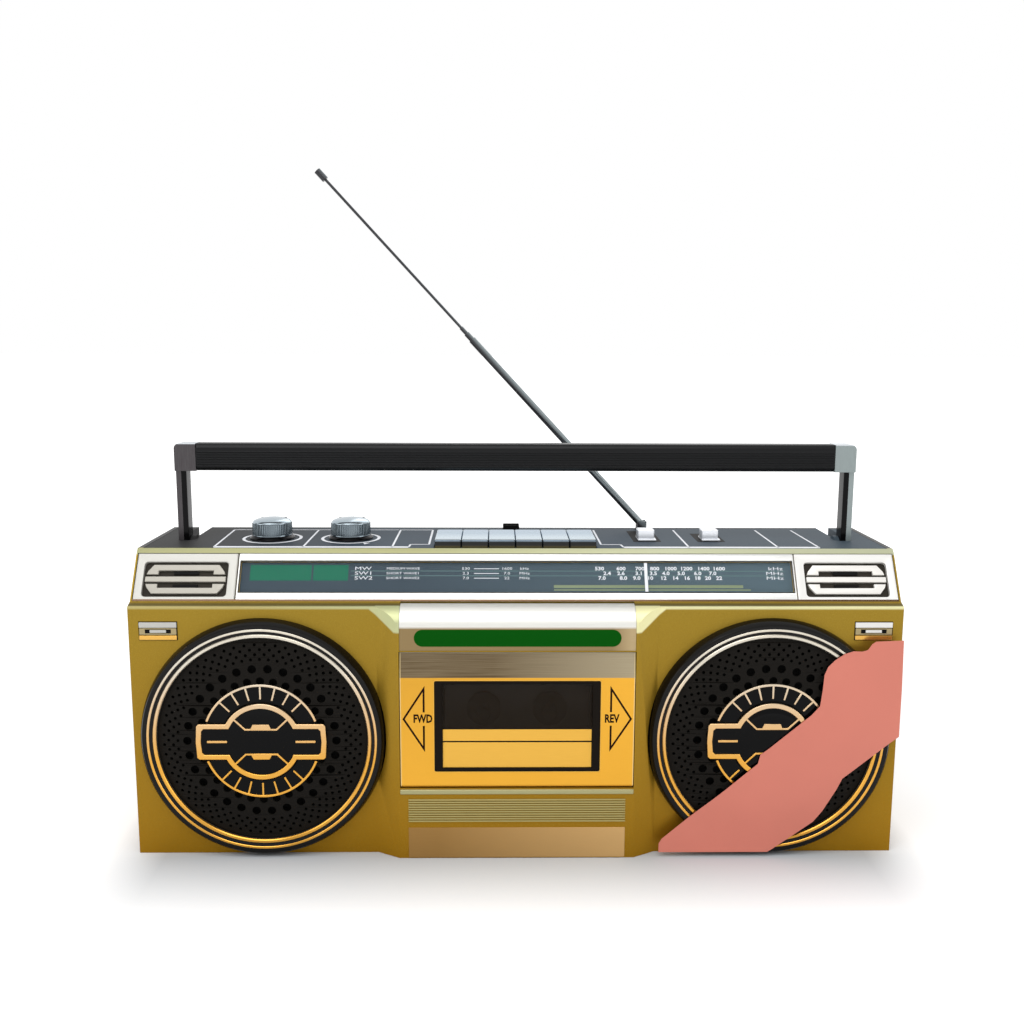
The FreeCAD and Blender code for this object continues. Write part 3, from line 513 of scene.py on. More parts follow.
def gold_paint(name):
    """Metallic paint with painted light: a painted reflection takes it from olive above to amber lower down,
    painted highlights make it pale where the front rolls back to the sky and along the top edge, and painted
    shadow darkens the shelf.
    """
    settings = bpy.context.scene.recorder_finish
    f = Finish(name, settings.case_gold, metallic=0.5, roughness=0.42, shine=0.15)
    flake = f.noise(2600, 2)
    cloud = f.noise(9, 3)
    x = f.axis(0)
    y = f.axis(1)
    z = f.axis(2)
    # painted reflection: amber low down, going to olive gold higher up, as the paint mirrors its surroundings
    base = f.blend(z.above(0.085, 0.17), settings.case_amber, settings.case_gold)
    base = f.blend(cloud * 0.3, base, shade(settings.case_gold, 0.88))
    speck = f.noise(1100, 2)
    base = f.blend(speck.above(0.5, 0.5) * 0.3, base, shade(settings.case_gold, 0.8))
    # painted highlight where the front rolls back: a pale band, set higher at the sides and lighter towards the
    # right
    aside = abs(x).above(85.0 * MM, 16.0 * MM)
    roll = (z - aside * (13.2 * MM)).above(148.0 * MM, 1.2 * MM) * (1 - y.above(BAFFLE + 2 * MM, 1 * MM))
    # mask of the painted highlight along the front top edge
    rim = z.above(TOP - 3.6 * MM, 0.6 * MM) * (1 - y.above(PANEL_LO[1] + 1 * MM, 2 * MM))
    # painted shadow: a dark band along the shelf at the top of the upright front
    shelf_shadow = z.above(BLOCK - 0.8 * MM, 0.5 * MM) * (1 - z.above(BLOCK + 1.6 * MM, 0.6 * MM))
    shelf_shadow = shelf_shadow * y.above(BAFFLE + 1.1 * MM, 0.6 * MM) * (1 - y.above(BAFFLE + 8 * MM, 1 * MM))
    glow = f.blend(x.above(-0.12, 0.1), (0.735, 0.685, 0.455), (0.75, 0.775, 0.6))
    glow = f.blend(x.above(0.0, 0.1), glow, settings.pale_gold)
    base = f.blend(roll * 0.95, base, glow)
    base = f.blend(shelf_shadow * 0.9, base, (0.38, 0.34, 0.18))
    # painted highlight on the top edge, lighter towards the right
    edge = f.blend(x.above(0.02, 0.16), (0.6, 0.61, 0.465), (0.72, 0.74, 0.63))
    base = f.blend(rim * 0.9, base, edge)
    lid = z.above(TOP - 0.9 * MM, 0.4 * MM) * y.above(PANEL_LO[1] + 1.5 * MM, 1 * MM)
    base = f.blend(lid, base, (0.13, 0.14, 0.16))
    meeting = 1 - abs(y - REAR_LO[1]).above(0.35 * MM, 0.3 * MM)
    base = f.blend(meeting * 0.8, base, (0.2, 0.15, 0.06))
    within = (1 - abs(x).above(HALF - 1.2 * MM, 0.4 * MM)) * (1 - y.above(BACK - 1.2 * MM, 0.4 * MM))
    within = within * z.above(1.2 * MM, 0.4 * MM) * (1 - z.above(TOP - 1.2 * MM, 0.4 * MM))
    base = f.blend(within * y.above(REAR_LO[1] + 2 * MM, 1 * MM), base, (0.12, 0.115, 0.11))
    pocket = y.above(CENTRE + 1.6 * MM, 0.4 * MM) * (1 - abs(x).above(DOOR_HALF + 1.2 * MM, 0.4 * MM))
    pocket = pocket * z.above(1.2 * MM, 0.4 * MM) * (1 - z.above(DOOR_HI[2] + 8 * MM, 1 * MM))
    pocket = pocket * (1 - y.above(REAR_LO[1], 1 * MM))
    base = f.blend(pocket, base, (0.1, 0.095, 0.09))
    f.feed("Base Color", f.blend(flake.above(0.62, 0.12) * 0.2, base, (0.8, 0.7, 0.34)))
    f.feed("Roughness", 0.36 + flake * 0.1)
    f.bump(flake, 0.08, 0.0002)
    return f


def brushed(name, colour, second, metallic=0.8, roughness=0.3, stretch=(4, 60, 900)):
    """Metal brushed along its length."""
    f = Finish(name, colour, metallic, roughness)
    grain = f.noise(26, 4, stretch)
    f.feed("Base Color", f.blend(grain.above(0.5, 0.5), colour, second))
    f.feed("Roughness", roughness - 0.06 + grain * 0.14)
    f.bump(grain, 0.12, 0.0001)
    return f


def shaded_metal(name, left, right, edge, soft, metallic=0.4, roughness=0.34, stretch=(4, 60, 900)):
    """Brushed metal with a painted sheen that goes from one tone at the left to another, brighter, at the right.
    """
    f = Finish(name, left, metallic, roughness, shine=0.25)
    grain = f.noise(26, 4, stretch)
    # painted sheen from left to right
    tone = f.blend(f.axis(0).above(edge, soft), left, right)
    middle = [(a + b) / 2 for a, b in zip(left, right)]
    f.feed("Base Color", f.blend(grain.above(0.5, 0.6) * 0.3, tone, middle))
    f.feed("Roughness", roughness - 0.04 + grain * 0.1)
    f.bump(grain, 0.1, 0.0001)
    return f


def split_metal(name, low, high, edge, soft, metallic=0.5):
    """Brushed sheet with painted light: a painted highlight gives one tone above a height, and below it a tone
    that a painted reflection brightens at the right.
    """
    f = Finish(name, low, metallic, 0.32)
    grain = f.noise(26, 4, (4, 60, 900))
    # painted reflection: the lower tone brightens towards the right
    lower = f.blend(f.axis(0).above(DOOR_HALF - 9.0 * MM, 12.0 * MM), low, [c + 0.17 for c in low])
    # painted highlight: the upper tone above the height
    tone = f.blend(f.axis(2).above(edge, soft), lower, high)
    f.feed("Base Color", f.blend(grain.above(0.5, 0.6) * 0.3, tone, shade(low, 0.85)))
    f.feed("Roughness", 0.28 + grain * 0.12)
    f.bump(grain, 0.1, 0.0001)
    return f


def door_metal(name):
    """The door's sheet: bronze silver above the bend, brightened to the right by a painted reflection, and gold
    below it, which a milder painted reflection varies; painted highlights run along its sides and top.
    """
    settings = bpy.context.scene.recorder_finish
    f = Finish(name, settings.door_gold, 0.4, 0.36, shine=0.2)
    grain = f.noise(26, 4, (4, 60, 900))
    # painted reflection: the silver band lightens towards the right
    side = f.axis(0).above(0.03, 0.09)
    streak = f.noise(12, 4, (2, 30, 260))
    silver = f.blend(side, (0.37, 0.305, 0.21), (0.68, 0.63, 0.52))
    silver = f.blend(streak.above(0.52, 0.3) * 0.55, silver, (0.6, 0.54, 0.43))
    # milder painted reflection across and down the gold
    gold = f.blend(f.axis(0).above(0.0, 0.14), shade(settings.door_gold, 0.95),
                   shade(settings.door_gold, 1.05))
    gold = f.blend(f.axis(2).above(0.085, 0.06), shade(settings.door_gold, 1.05), gold)
    gold = f.blend(grain.above(0.5, 0.6) * 0.5, gold, shade(settings.door_gold, 0.93))
    sheet = f.blend(f.axis(2).above(BEND, 0.5 * MM), gold, silver)
    # painted highlight along the door's side edges
    edge = abs(f.axis(0)).above(DOOR_HALF - 0.7 * MM, 0.3 * MM)
    sheet = f.blend(edge * 0.6, sheet, (0.93, 0.84, 0.62))
    # painted highlight along the door's top
    rim = f.axis(2).above(DOOR_HI[2] - 0.6 * MM, 0.3 * MM)
    f.feed("Base Color", f.blend(rim * 0.6, sheet, (0.75, 0.7, 0.6)))
    f.feed("Roughness", 0.3 + grain * 0.12)
    f.bump(grain, 0.1, 0.0001)
    return f


def moulded(name, colour, roughness=0.5, shine=0.5, grain_size=900, depth=0.12):
    """Moulded plastic with a fine grain and slight variation."""
    f = Finish(name, colour, 0.0, roughness, shine=shine)
    grain = f.noise(grain_size, 3)
    cloud = f.noise(14, 2)
    f.feed("Base Color", f.blend(cloud * 0.4, colour, shade(colour, 0.82)))
    f.feed("Roughness", roughness - 0.05 + grain * 0.1)
    f.bump(grain, depth, 0.0001)
    return f


def polished(name, colour, roughness=0.08, metallic=1.0):
    """Plated metal with faint handling marks."""
    f = Finish(name, colour, metallic, roughness)
    haze = f.noise(40, 4)
    f.feed("Base Color", f.blend(haze * 0.5, colour, shade(colour, 0.9)))
    f.feed("Roughness", roughness + haze * 0.07)
    return f


def badge_gold(name):
    """Plated lines, with a painted reflection that makes them silvery at the top of a speaker; warm gold lower
    down.
    """
    f = Finish(name, (0.86, 0.66, 0.33), 0.85, 0.2)
    # painted reflection: silvery above the speaker's middle
    rise = f.axis(2).above(SPEAKER_Z + 0.018, 0.06)
    haze = f.noise(60, 3)
    tone = f.blend(rise, (0.9, 0.66, 0.26), (0.82, 0.8, 0.75))
    f.feed("Base Color", f.blend(haze * 0.2, tone, (0.7, 0.56, 0.34)))
    f.feed("Roughness", 0.18 + haze * 0.08)
    return f


def dial_slate(name):
    """The dial's backing, dark at the left and lightened to the right by a painted sheen."""
    f = Finish(name, (0.3, 0.34, 0.38), 0.0, 0.5, shine=0.05)
    grain = f.noise(700, 2)
    sheen_ramp = f.axis(0).above(0.06, 0.26)
    tone = f.blend(sheen_ramp, (0.265, 0.305, 0.345), (0.37, 0.44, 0.475))
    f.feed("Base Color", f.blend(grain * 0.25, tone, (0.24, 0.28, 0.31)))
    f.feed("Roughness", 0.45 + grain * 0.1)
    return f


def clear_glass(name, colour, roughness, alpha, shine=0.5):
    f = Finish(name, colour, 0.0, roughness, shine=shine)
    f.feed("Alpha", alpha)
    haze = f.noise(30, 3)
    f.feed("Roughness", roughness + haze * 0.05)
    return f


def black_panel(name):
    """The black top: a fine grain, and a painted sheen that makes it lighter and cooler towards the right."""
    f = Finish(name, (0.22, 0.25, 0.28), 0.0, 0.55, shine=0.11)
    grain = f.noise(900, 3)
    # painted sheen: lighter and bluer towards the right
    tone = f.blend(f.axis(0).above(-0.15, 0.12), (0.18, 0.18, 0.18), (0.22, 0.27, 0.315))
    f.feed("Base Color", f.blend(f.axis(0).above(0.13, 0.12), tone, (0.265, 0.31, 0.345)))
    f.feed("Roughness", 0.5 + grain * 0.1)
    f.bump(grain, 0.12, 0.0001)
    return f


def key_chrome(name):
    """The keys' tops: bluish plate with painted reflections, brighter forwards and dark over the front edge."""
    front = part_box(KEYS[0])[0][1]
    f = Finish(name, (0.66, 0.75, 0.82), 1.0, 0.14)
    haze = f.noise(40, 4)
    y = f.axis(1)
    # painted reflections: brighter towards the front, then a dark band over the front edge
    tone = f.blend(y.above(front + 17.0 * MM, 14.0 * MM), (0.76, 0.83, 0.87), (0.58, 0.68, 0.76))
    tone = f.blend(y.above(front + 2.2 * MM, 2.4 * MM), (0.3, 0.33, 0.36), tone)
    f.feed("Base Color", f.blend(haze * 0.4, tone, (0.6, 0.68, 0.74)))
    f.feed("Roughness", 0.14 + haze * 0.07)
    return f


def key_front(name):
    """The keys' fronts: dark above, with the case's gold mirrored lower down."""
    f = Finish(name, (0.2, 0.18, 0.15), 0.3, 0.2, shine=0.2)
    haze = f.noise(60, 3)
    rise = f.axis(2).above(TOP + 0.6 * MM, 1.6 * MM)
    tone = f.blend(rise, (0.46, 0.42, 0.25), (0.13, 0.135, 0.14))
    f.feed("Base Color", f.blend(haze * 0.3, tone, (0.2, 0.19, 0.16)))
    return f


def aerial_chrome(name):
    """Plated tube: a painted highlight along its upper side and painted shade along its lower one."""
    lo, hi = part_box("antenna_section_4")
    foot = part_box("antenna_base")
    middle = (foot[0][0] + foot[1][0]) / 2
    lean = math.atan2(middle - lo[0], hi[2] - TOP)
    f = Finish(name, (0.5, 0.5, 0.5), 0.7, 0.24, shine=0.2)
    haze = f.noise(60, 3)
    upper = (f.axis(0) - middle) * math.cos(lean) + (f.axis(2) - (TOP + 3.6 * MM)) * math.sin(lean)
    # painted highlight on the upper side, painted shade on the lower
    tone = f.blend(upper.above(-0.2 * MM, 2.4 * MM), (0.2, 0.2, 0.21), (0.6, 0.64, 0.65))
    f.feed("Base Color", f.blend(haze * 0.3, tone, (0.36, 0.37, 0.38)))
    f.feed("Roughness", 0.2 + haze * 0.1)
    return f


def arm_chrome(name):
    """Plated arms: a dark painted reflection at the left, a light one at the right, and a painted highlight on
    top.
    """
    f = Finish(name, (0.5, 0.5, 0.5), 0.6, 0.3, shine=0.2)
    grain = f.noise(26, 4, (60, 60, 4))
    # painted reflection: dark at the left, light at the right
    tone = f.blend(f.axis(0).above(0.0, 0.2), (0.27, 0.25, 0.26), (0.57, 0.61, 0.61))
    tone = f.blend(grain.above(0.5, 0.6) * 0.25, tone, (0.45, 0.46, 0.46))
    # painted highlight on the arms' top
    f.feed("Base Color", f.blend(f.axis(2).above(ARM_TOP - 0.5 * MM, 0.3 * MM), tone, (0.8, 0.82, 0.84)))
    f.feed("Roughness", 0.26 + grain * 0.1)
    return f


def knob_chrome(name):
    """Plated knob: a crown made bright by a painted highlight over a darker knurled side."""
    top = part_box("volume_knob")[1][2]
    f = Finish(name, (0.6, 0.65, 0.68), 1.0, 0.16)
    haze = f.noise(40, 4)
    # painted highlight on the crown
    tone = f.blend(f.axis(2).above(top - 3.2 * MM, 1.0 * MM), (0.45, 0.49, 0.51), (0.71, 0.76, 0.79))
    f.feed("Base Color", f.blend(haze * 0.4, tone, (0.54, 0.58, 0.61)))
    f.feed("Roughness", 0.14 + haze * 0.1)
    return f


# A look is its maker and what the maker is told; a word stands for a colour of the sidebar.
LOOKS = {
    "gold_paint": (gold_paint,),
    "door_metal": (door_metal,),
    "dial_slate": (dial_slate,),
    "badge_gold": (badge_gold,),
    "silver": (brushed, (0.83, 0.83, 0.82), (0.9, 0.9, 0.89), 0.6, 0.24),
    "corner_silver": (shaded_metal, (0.74, 0.735, 0.71), (0.93, 0.925, 0.91), 0.0, 0.3, 0.35, 0.4),
    "bar_silver": (shaded_metal, (0.64, 0.625, 0.585), (0.94, 0.93, 0.91), 0.0, 0.3, 0.35, 0.4),
    "mic_bronze": (brushed, (0.6, 0.54, 0.38), (0.68, 0.62, 0.47), 0.5, 0.3),
    "lip_bronze": (polished, (0.4, 0.3, 0.22), 0.2, 0.7),
    # painted highlight on the header's rolled top, painted reflection below it
    "header_metal": (split_metal, (0.56, 0.47, 0.31), (0.95, 0.95, 0.93), HEADER_TURN + 0.4 * MM, 1.6 * MM),
    "bronze_plate": (shaded_metal, (0.61, 0.46, 0.245), (0.84, 0.68, 0.45), 0.01, 0.12),
    "rib_gold": (brushed, (0.64, 0.59, 0.34), (0.72, 0.67, 0.44), 0.35, 0.35),
    "ledge_pale": (brushed, (0.63, 0.61, 0.42), (0.7, 0.68, 0.5), 0.3, 0.3),
    "line_gold": (polished, (0.88, 0.68, 0.32), 0.18, 0.7),
    "black_panel": (black_panel,),
    "matte_black": (moulded, (0.05, 0.047, 0.043), 0.6, 0.1),
    "grille_black": (moulded, (0.09, 0.08, 0.068), 0.6, 0.08),
    "gloss_black": (moulded, (0.02, 0.02, 0.023), 0.12, 0.1, 200, 0.02),
    "rim_brown": (moulded, (0.09, 0.07, 0.05), 0.3, 0.06, 200, 0.02),
    "ring_black": (moulded, (0.045, 0.038, 0.032), 0.18, 0.18, 200, 0.02),
    "grip_black": (moulded, (0.06, 0.063, 0.07), 0.3, 0.18, 1500, 0.08),
    "corner_dark": (moulded, (0.2, 0.185, 0.16), 0.5, 0.1),
    "chrome": (polished, (0.82, 0.84, 0.87)),
    "key_chrome": (key_chrome,),
    "key_front": (key_front,),
    "bright_chrome": (polished, (0.96, 0.97, 0.99), 0.2, 0.6),
    "aerial_chrome": (aerial_chrome,),
    "arm_chrome": (arm_chrome,),
    "knob_chrome": (knob_chrome,),
    "print_white": (moulded, (0.97, 0.98, 1.0), 0.5, 0.2),
    "print_dark": (moulded, (0.12, 0.06, 0.04), 0.5, 0.05),
    "dial_green": (moulded, (0.14, 0.46, 0.35), 0.4, 0.05),
    "dial_line": (moulded, (0.4, 0.53, 0.52), 0.5, 0.2),
    "pale_green": (moulded, (0.55, 0.6, 0.46), 0.5, 0.2),
    "pill_green": (moulded, "pill_green", 0.4, 0.05),
    "lens": (clear_glass, (0.5, 0.6, 0.64), 0.05, 0.03, 0.08),
    "smoked": (clear_glass, (0.13, 0.095, 0.05), 0.06, 0.66, 0.12),
    "band_gold": (brushed, (0.95, 0.74, 0.28), (0.9, 0.68, 0.24), 0.35, 0.34),
    "deck_steel": (brushed, (0.5, 0.5, 0.52), (0.62, 0.62, 0.63), 0.9, 0.35),
    "brass": (brushed, (0.72, 0.57, 0.3), (0.8, 0.66, 0.38), 0.9, 0.3),
    "rubber": (moulded, (0.05, 0.05, 0.05), 0.8, 0.2, 600, 0.3),
    "board": (moulded, (0.2, 0.4, 0.25), 0.45),
    "sticker_film": (moulded, "sticker_pink", 0.4, 0.3),
}


class RecorderFinish(bpy.types.PropertyGroup):
    case_gold: FloatVectorProperty(name="Case gold", description="Paint of the upper case",
                                   default=(0.62, 0.51, 0.17), subtype="COLOR")
    # lower end of the case's painted reflection: the case gold with a warm reflection painted in
    case_amber: FloatVectorProperty(name="Case amber", description="Paint of the lower case",
                                    default=(0.645, 0.45, 0.01), subtype="COLOR")
    # colour of the painted highlight where the front rolls back
    pale_gold: FloatVectorProperty(name="Pale gold", description="Paint where the front rolls back",
                                   default=(0.92, 0.905, 0.7), subtype="COLOR")
    door_gold: FloatVectorProperty(name="Door gold", description="Sheet of the cassette door",
                                   default=(0.92, 0.68, 0.22), subtype="COLOR")
    pill_green: FloatVectorProperty(name="Header green", description="Long rounded bar on the header",
                                    default=(0.01, 0.33, 0.03), subtype="COLOR")
    sticker_pink: FloatVectorProperty(name="Sticker film", description="Bare film of the sticker",
                                      default=(0.89, 0.53, 0.46), subtype="COLOR")


class RecorderDetail(bpy.types.PropertyGroup):
    case_edge: FloatProperty(name="Case edge", description="Rounding of the case edges",
                             default=1.6 * MM, unit="LENGTH")
    line_width: FloatProperty(name="Line width", description="Width of the printed lines on the top",
                              default=1.3 * MM, unit="LENGTH")
    front_line: FloatProperty(name="Front line", description="Width of the printed line along the front",
                              default=4.6 * MM, unit="LENGTH")
    big_holes: IntProperty(name="Large holes", description="Large holes in one circle of a speaker grille",
                           default=30)
    small_holes: IntProperty(name="Small holes", description="Small holes in one circle of a speaker grille",
                             default=60)
    knurls: IntProperty(name="Knurls", description="Ridges round a control knob", default=60)
    grip_ribs: IntProperty(name="Grip ribs", description="Fine ribs on the front of the handle grip",
                           default=7)


class RecorderStage(bpy.types.PropertyGroup):
    key_power: FloatProperty(name="Key light", description="Power of the large lamp above the front",
                             default=9.0, unit="POWER")
    fill_power: FloatProperty(name="Fill light", description="Power of the lamps at the sides",
                              default=3.0, unit="POWER")
    world_level: FloatProperty(name="Room light", description="Strength of the light from all round",
                               default=0.62)
    focal_length: FloatProperty(name="Focal length", description="Camera lens in millimetres",
                                default=37.44)


class RecorderOperator:
    """What every build step of this file shares."""

    bl_options = {"REGISTER", "UNDO"}

    def execute(self, context):
        self.build(context.scene.recorder_detail)
        return {"FINISHED"}


class RECORDER_OT_case(RecorderOperator, bpy.types.Operator):
    """Both halves of the case and the strips of the centre section"""

    bl_idname = "recorder.case"
    bl_label = "Case"

    def build(self, detail):
        for node in ("front_cabinet", "rear_cabinet"):
            dress(refined(node, detail.case_edge, 3), "gold_paint", "cabinet")
        face = facing_front(CENTRE)
        # painted highlight: the ledge strip gets a pale brushed tone that stands for the light on it
        ledge = block("ledge_strip", (-DOOR_HALF - 0.4 * MM, CENTRE - 0.9 * MM, 43.0 * MM),
                      (DOOR_HALF + 0.4 * MM, CENTRE + 0.5 * MM, 46.2 * MM), 0.6 * MM, 3)
        dress(ledge, "ledge_pale", "cabinet")
        low, high, count = 24.6 * MM, 40.4 * MM, 10
        pitch = (high - low) / count
        ribs = []
        for i in range(count):
            z = low + i * pitch
            ribs.append(block("rib", (NAME_LO[0], CENTRE - 0.8 * MM, z),
                              (NAME_HI[0], CENTRE + 0.2 * MM, z + pitch * 0.62), 0.3 * MM))
        dress(joined("centre_ribs", ribs), "rib_gold", "cabinet")
        name = plate("name_plate_sheet", [around(NAME_LO, NAME_HI, 0, 0, 0, 0.6)], face, 1.2 * MM, -0.8 * MM,
                     0.15 * MM)
        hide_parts("name_plate")
        dress(name, "bronze_plate", "cabinet")


class RECORDER_OT_header(RecorderOperator, bpy.types.Operator):
    """The rolled header with its green bar"""

    bl_idname = "recorder.header"
    bl_label = "Header"

    def build(self, detail):
        shell = refined("header_plate", 0.3 * MM)
        dress(shell, "header_metal", "cabinet")
        pill = plate("header_bar", [centred(64.3 * MM, 139.4 * MM, 150.2 * MM, 5.3 * MM, 10)],
                     facing_front(CENTRE), 0.12 * MM, 0.0, 0.04 * MM)
        dress(pill, "pill_green", "cabinet")


class RECORDER_OT_top_panel(RecorderOperator, bpy.types.Operator):
    """The black top panel with its printed lines"""

    bl_idname = "recorder.top_panel"
    bl_label = "Top panel"

    def build(self, detail):
        dress(refined("top_panel", 0.35 * MM), "black_panel", "cabinet")
        y0 = PANEL_LO[1] + 3.4 * MM
        y1 = PANEL_HI[1] - 11 * MM
        step = y0 + 9.5 * MM
        routes = [
            [(-197, y1), (-195, y0), (-70, y0), (-69.4, step), (-57.4, step), (-58, y1), (-80.9, y1)],
            [(55, y1), (55.2, step), (68, step), (69, y0), (196, y0), (194.8, y1)],
            [(-197, y1), (-82, y1)],
            [(-138, y0), (-138, y1)],
            [(-80.6, y0), (-80.6, y1)],
            [(111.4, y0), (111.4, y1)],
            [(169.4, y0), (169.4, y1)],
        ]
        pieces = []
        for route in routes:
            for (xa, ya), (xb, yb) in zip(route, route[1:]):
                along = ya == yb
                width = detail.front_line if along and ya == y0 else detail.line_width
                loop = ribbon([(xa * MM, ya), (xb * MM, yb)], width)
                pieces.append(plate("line", [loop], facing_up(TOP), 0.06 * MM))
        for node in ("volume_knob", "tone_knob"):
            lo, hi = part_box(node)
            at = Matrix.Translation(((lo[0] + hi[0]) / 2, (lo[1] + hi[1]) / 2, TOP))
            pieces.append(ring("dial_circle", 17.8 * MM, 19.9 * MM, 0, 0.06 * MM, at, 0.01 * MM, 64))
        mark = [(-101 * MM, y0 + 14 * MM), (-96.5 * MM, y0 + 14 * MM), (-99.5 * MM, y0 + 9.5 * MM)]
        pieces.append(plate("mark", [mark], facing_up(TOP), 0.06 * MM))
        dress(joined("top_panel_lines", pieces), "print_white", "cabinet")


class RECORDER_OT_dial(RecorderOperator, bpy.types.Operator):
    """The tuning dial: trim, lens, printed scale and pointer"""

    bl_idname = "recorder.dial"
    bl_label = "Dial"

    def build(self, detail):
        trim = plate("dial_trim", [centred(DIAL_HALF, BANK_LOW, BANK_HIGH, 0.3 * MM),
                                   centred(DIAL_HALF - 1.2 * MM, DIAL_LOW - 0.3 * MM, DIAL_HIGH + 0.3 * MM)],
                     on_slope(), 3 * MM, -3 * MM, 0.5 * MM)
        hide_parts("dial_frame")
        dress(smooth(trim), "silver", "cabinet")
        opening = centred(DIAL_HALF - 1.5 * MM, DIAL_LOW, DIAL_HIGH)
        # painted shade: a dark band round the dial's opening, where the trim meets the glass
        line = centred(DIAL_HALF - 0.9 * MM, DIAL_LOW - 0.5 * MM, DIAL_HIGH + 0.5 * MM)
        edge = plate("dial_inner_edge", [line, opening], on_slope(), 0.06 * MM)
        dress(edge, "corner_dark", "cabinet")
        # painted reflection: a dark bronze strip along the bottom edge of the bank's trim
        lip_reflection = plate("bank_lip", [centred(HALF - 1.4 * MM, 0.3 * MM, 1.5 * MM)], on_slope(), 0.12 * MM)
        dress(lip_reflection, "lip_bronze", "cabinet")
        lens = plate("dial_glass", [centred(DIAL_HALF - 1.5 * MM, DIAL_LOW, DIAL_HIGH, 0.3 * MM)],
                     on_slope(), 1.0 * MM, -2.4 * MM, 0.2 * MM)
        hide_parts("dial_lens")
        dress(lens, "lens", "cabinet")
        back = plate("dial_backing", [opening], on_slope(), 0.3 * MM, -2.95 * MM)
        dress(back, "dial_slate", "cabinet")
        self.print_scale(on_slope(-2.62 * MM))
        self.pointer()

    def print_scale(self, face):
        windows = [rectangle(u0 * MM, u1 * MM, 14.8 * MM, 25.3 * MM)
                   for u0, u1 in ((-169.8, -131), (-129.8, -107.6))]
        green = plate("dial_windows", windows, face, 0.08 * MM)
        dress(green, "dial_green", "cabinet")
        thin = [rectangle(-106 * MM, 172 * MM, v * MM, (v + 0.4) * MM) for v in (21.1, 17.9)]
        dress(plate("dial_thin_lines", thin, face, 0.05 * MM), "dial_line", "cabinet")
        bar = [rectangle(23.2 * MM, 143.8 * MM, 9.9 * MM, 11.9 * MM),
               rectangle(23.2 * MM, 148.5 * MM, 8.2 * MM, 9.1 * MM)]
        dress(plate("dial_bar", bar, face, 0.06 * MM), "pale_green", "cabinet")
        rows = (22.9, 19.7, 16.5)
        top = ((52.6, "530"), (66.4, "600"), (78.5, "700"), (88.0, "800"), (98.2, "1000"), (108.3, "1200"),
               (119.3, "1400"), (129.2, "1600"))
        middle = ((57.4, "2.4"), (66.2, "2.6"), (77.8, "3.1"), (87.0, "3.5"), (95.0, "4.0"), (104.8, "5.0"),
                  (115.4, "6.0"), (125.0, "7.0"))
        low = ((54.0, "7.0"), (67.7, "8.0"), (76.2, "9.0"), (84.8, "10"), (93.3, "12"), (100.9, "14"),
               (108.3, "16"), (115.1, "18"), (121.8, "20"), (128.9, "22"))
        heavy = 0.13 * MM
        marks = []
        for v, row in zip(rows, (top, middle, low)):
            for u, text in row:
                marks.append(words("number", text, (u * MM, v * MM), 3.3 * MM, face, 1.2, bold=heavy * 0.8))
        bands = (("MW", "kHz", "MEDIUM WAVE", "530", "1600"), ("SW1", "MHz", "SHORT WAVE1", "2.3", "7.0"),
                 ("SW2", "MHz", "SHORT WAVE2", "7.0", "22"))
        for v, (name, unit, full, first, last) in zip(rows, bands):
            at = v * MM
            marks.append(words("band", name, (-103.7 * MM, at), 3.2 * MM, face, 1.85, "LEFT"))
            marks.append(words("unit", unit, (170.4 * MM, at), 3.2 * MM, face, 1.85, "RIGHT"))
            marks.append(words("band_name", full, (-83.4 * MM, at), 2.3 * MM, face, 1.35, "LEFT"))
            marks.append(words("range", first, (-32.8 * MM, at), 2.5 * MM, face, 1.4))
            marks.append(words("range", last, (-6.6 * MM, at), 2.5 * MM, face, 1.4))
            marks.append(words("range", unit, (4.6 * MM, at), 2.5 * MM, face, 1.4))
            marks.append(plate("dash", [rectangle(-27.6 * MM, -11.7 * MM, at - 0.25 * MM, at + 0.2 * MM)],
                               face, 0.05 * MM))
        dress(joined("dial_print", marks), "print_white", "cabinet")

    def pointer(self):
        x = (POINTER_LO[0] + POINTER_HI[0]) / 2
        strip = rectangle(x - 1.0 * MM, x + 1.0 * MM, 7.0 * MM, 26.3 * MM, 0.3 * MM)
        needle = plate("pointer_needle", [strip], on_slope(), 0.35 * MM, -1.2 * MM, 0.1 * MM)
        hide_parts("dial_pointer")
        dress(needle, "print_white", "pointer")


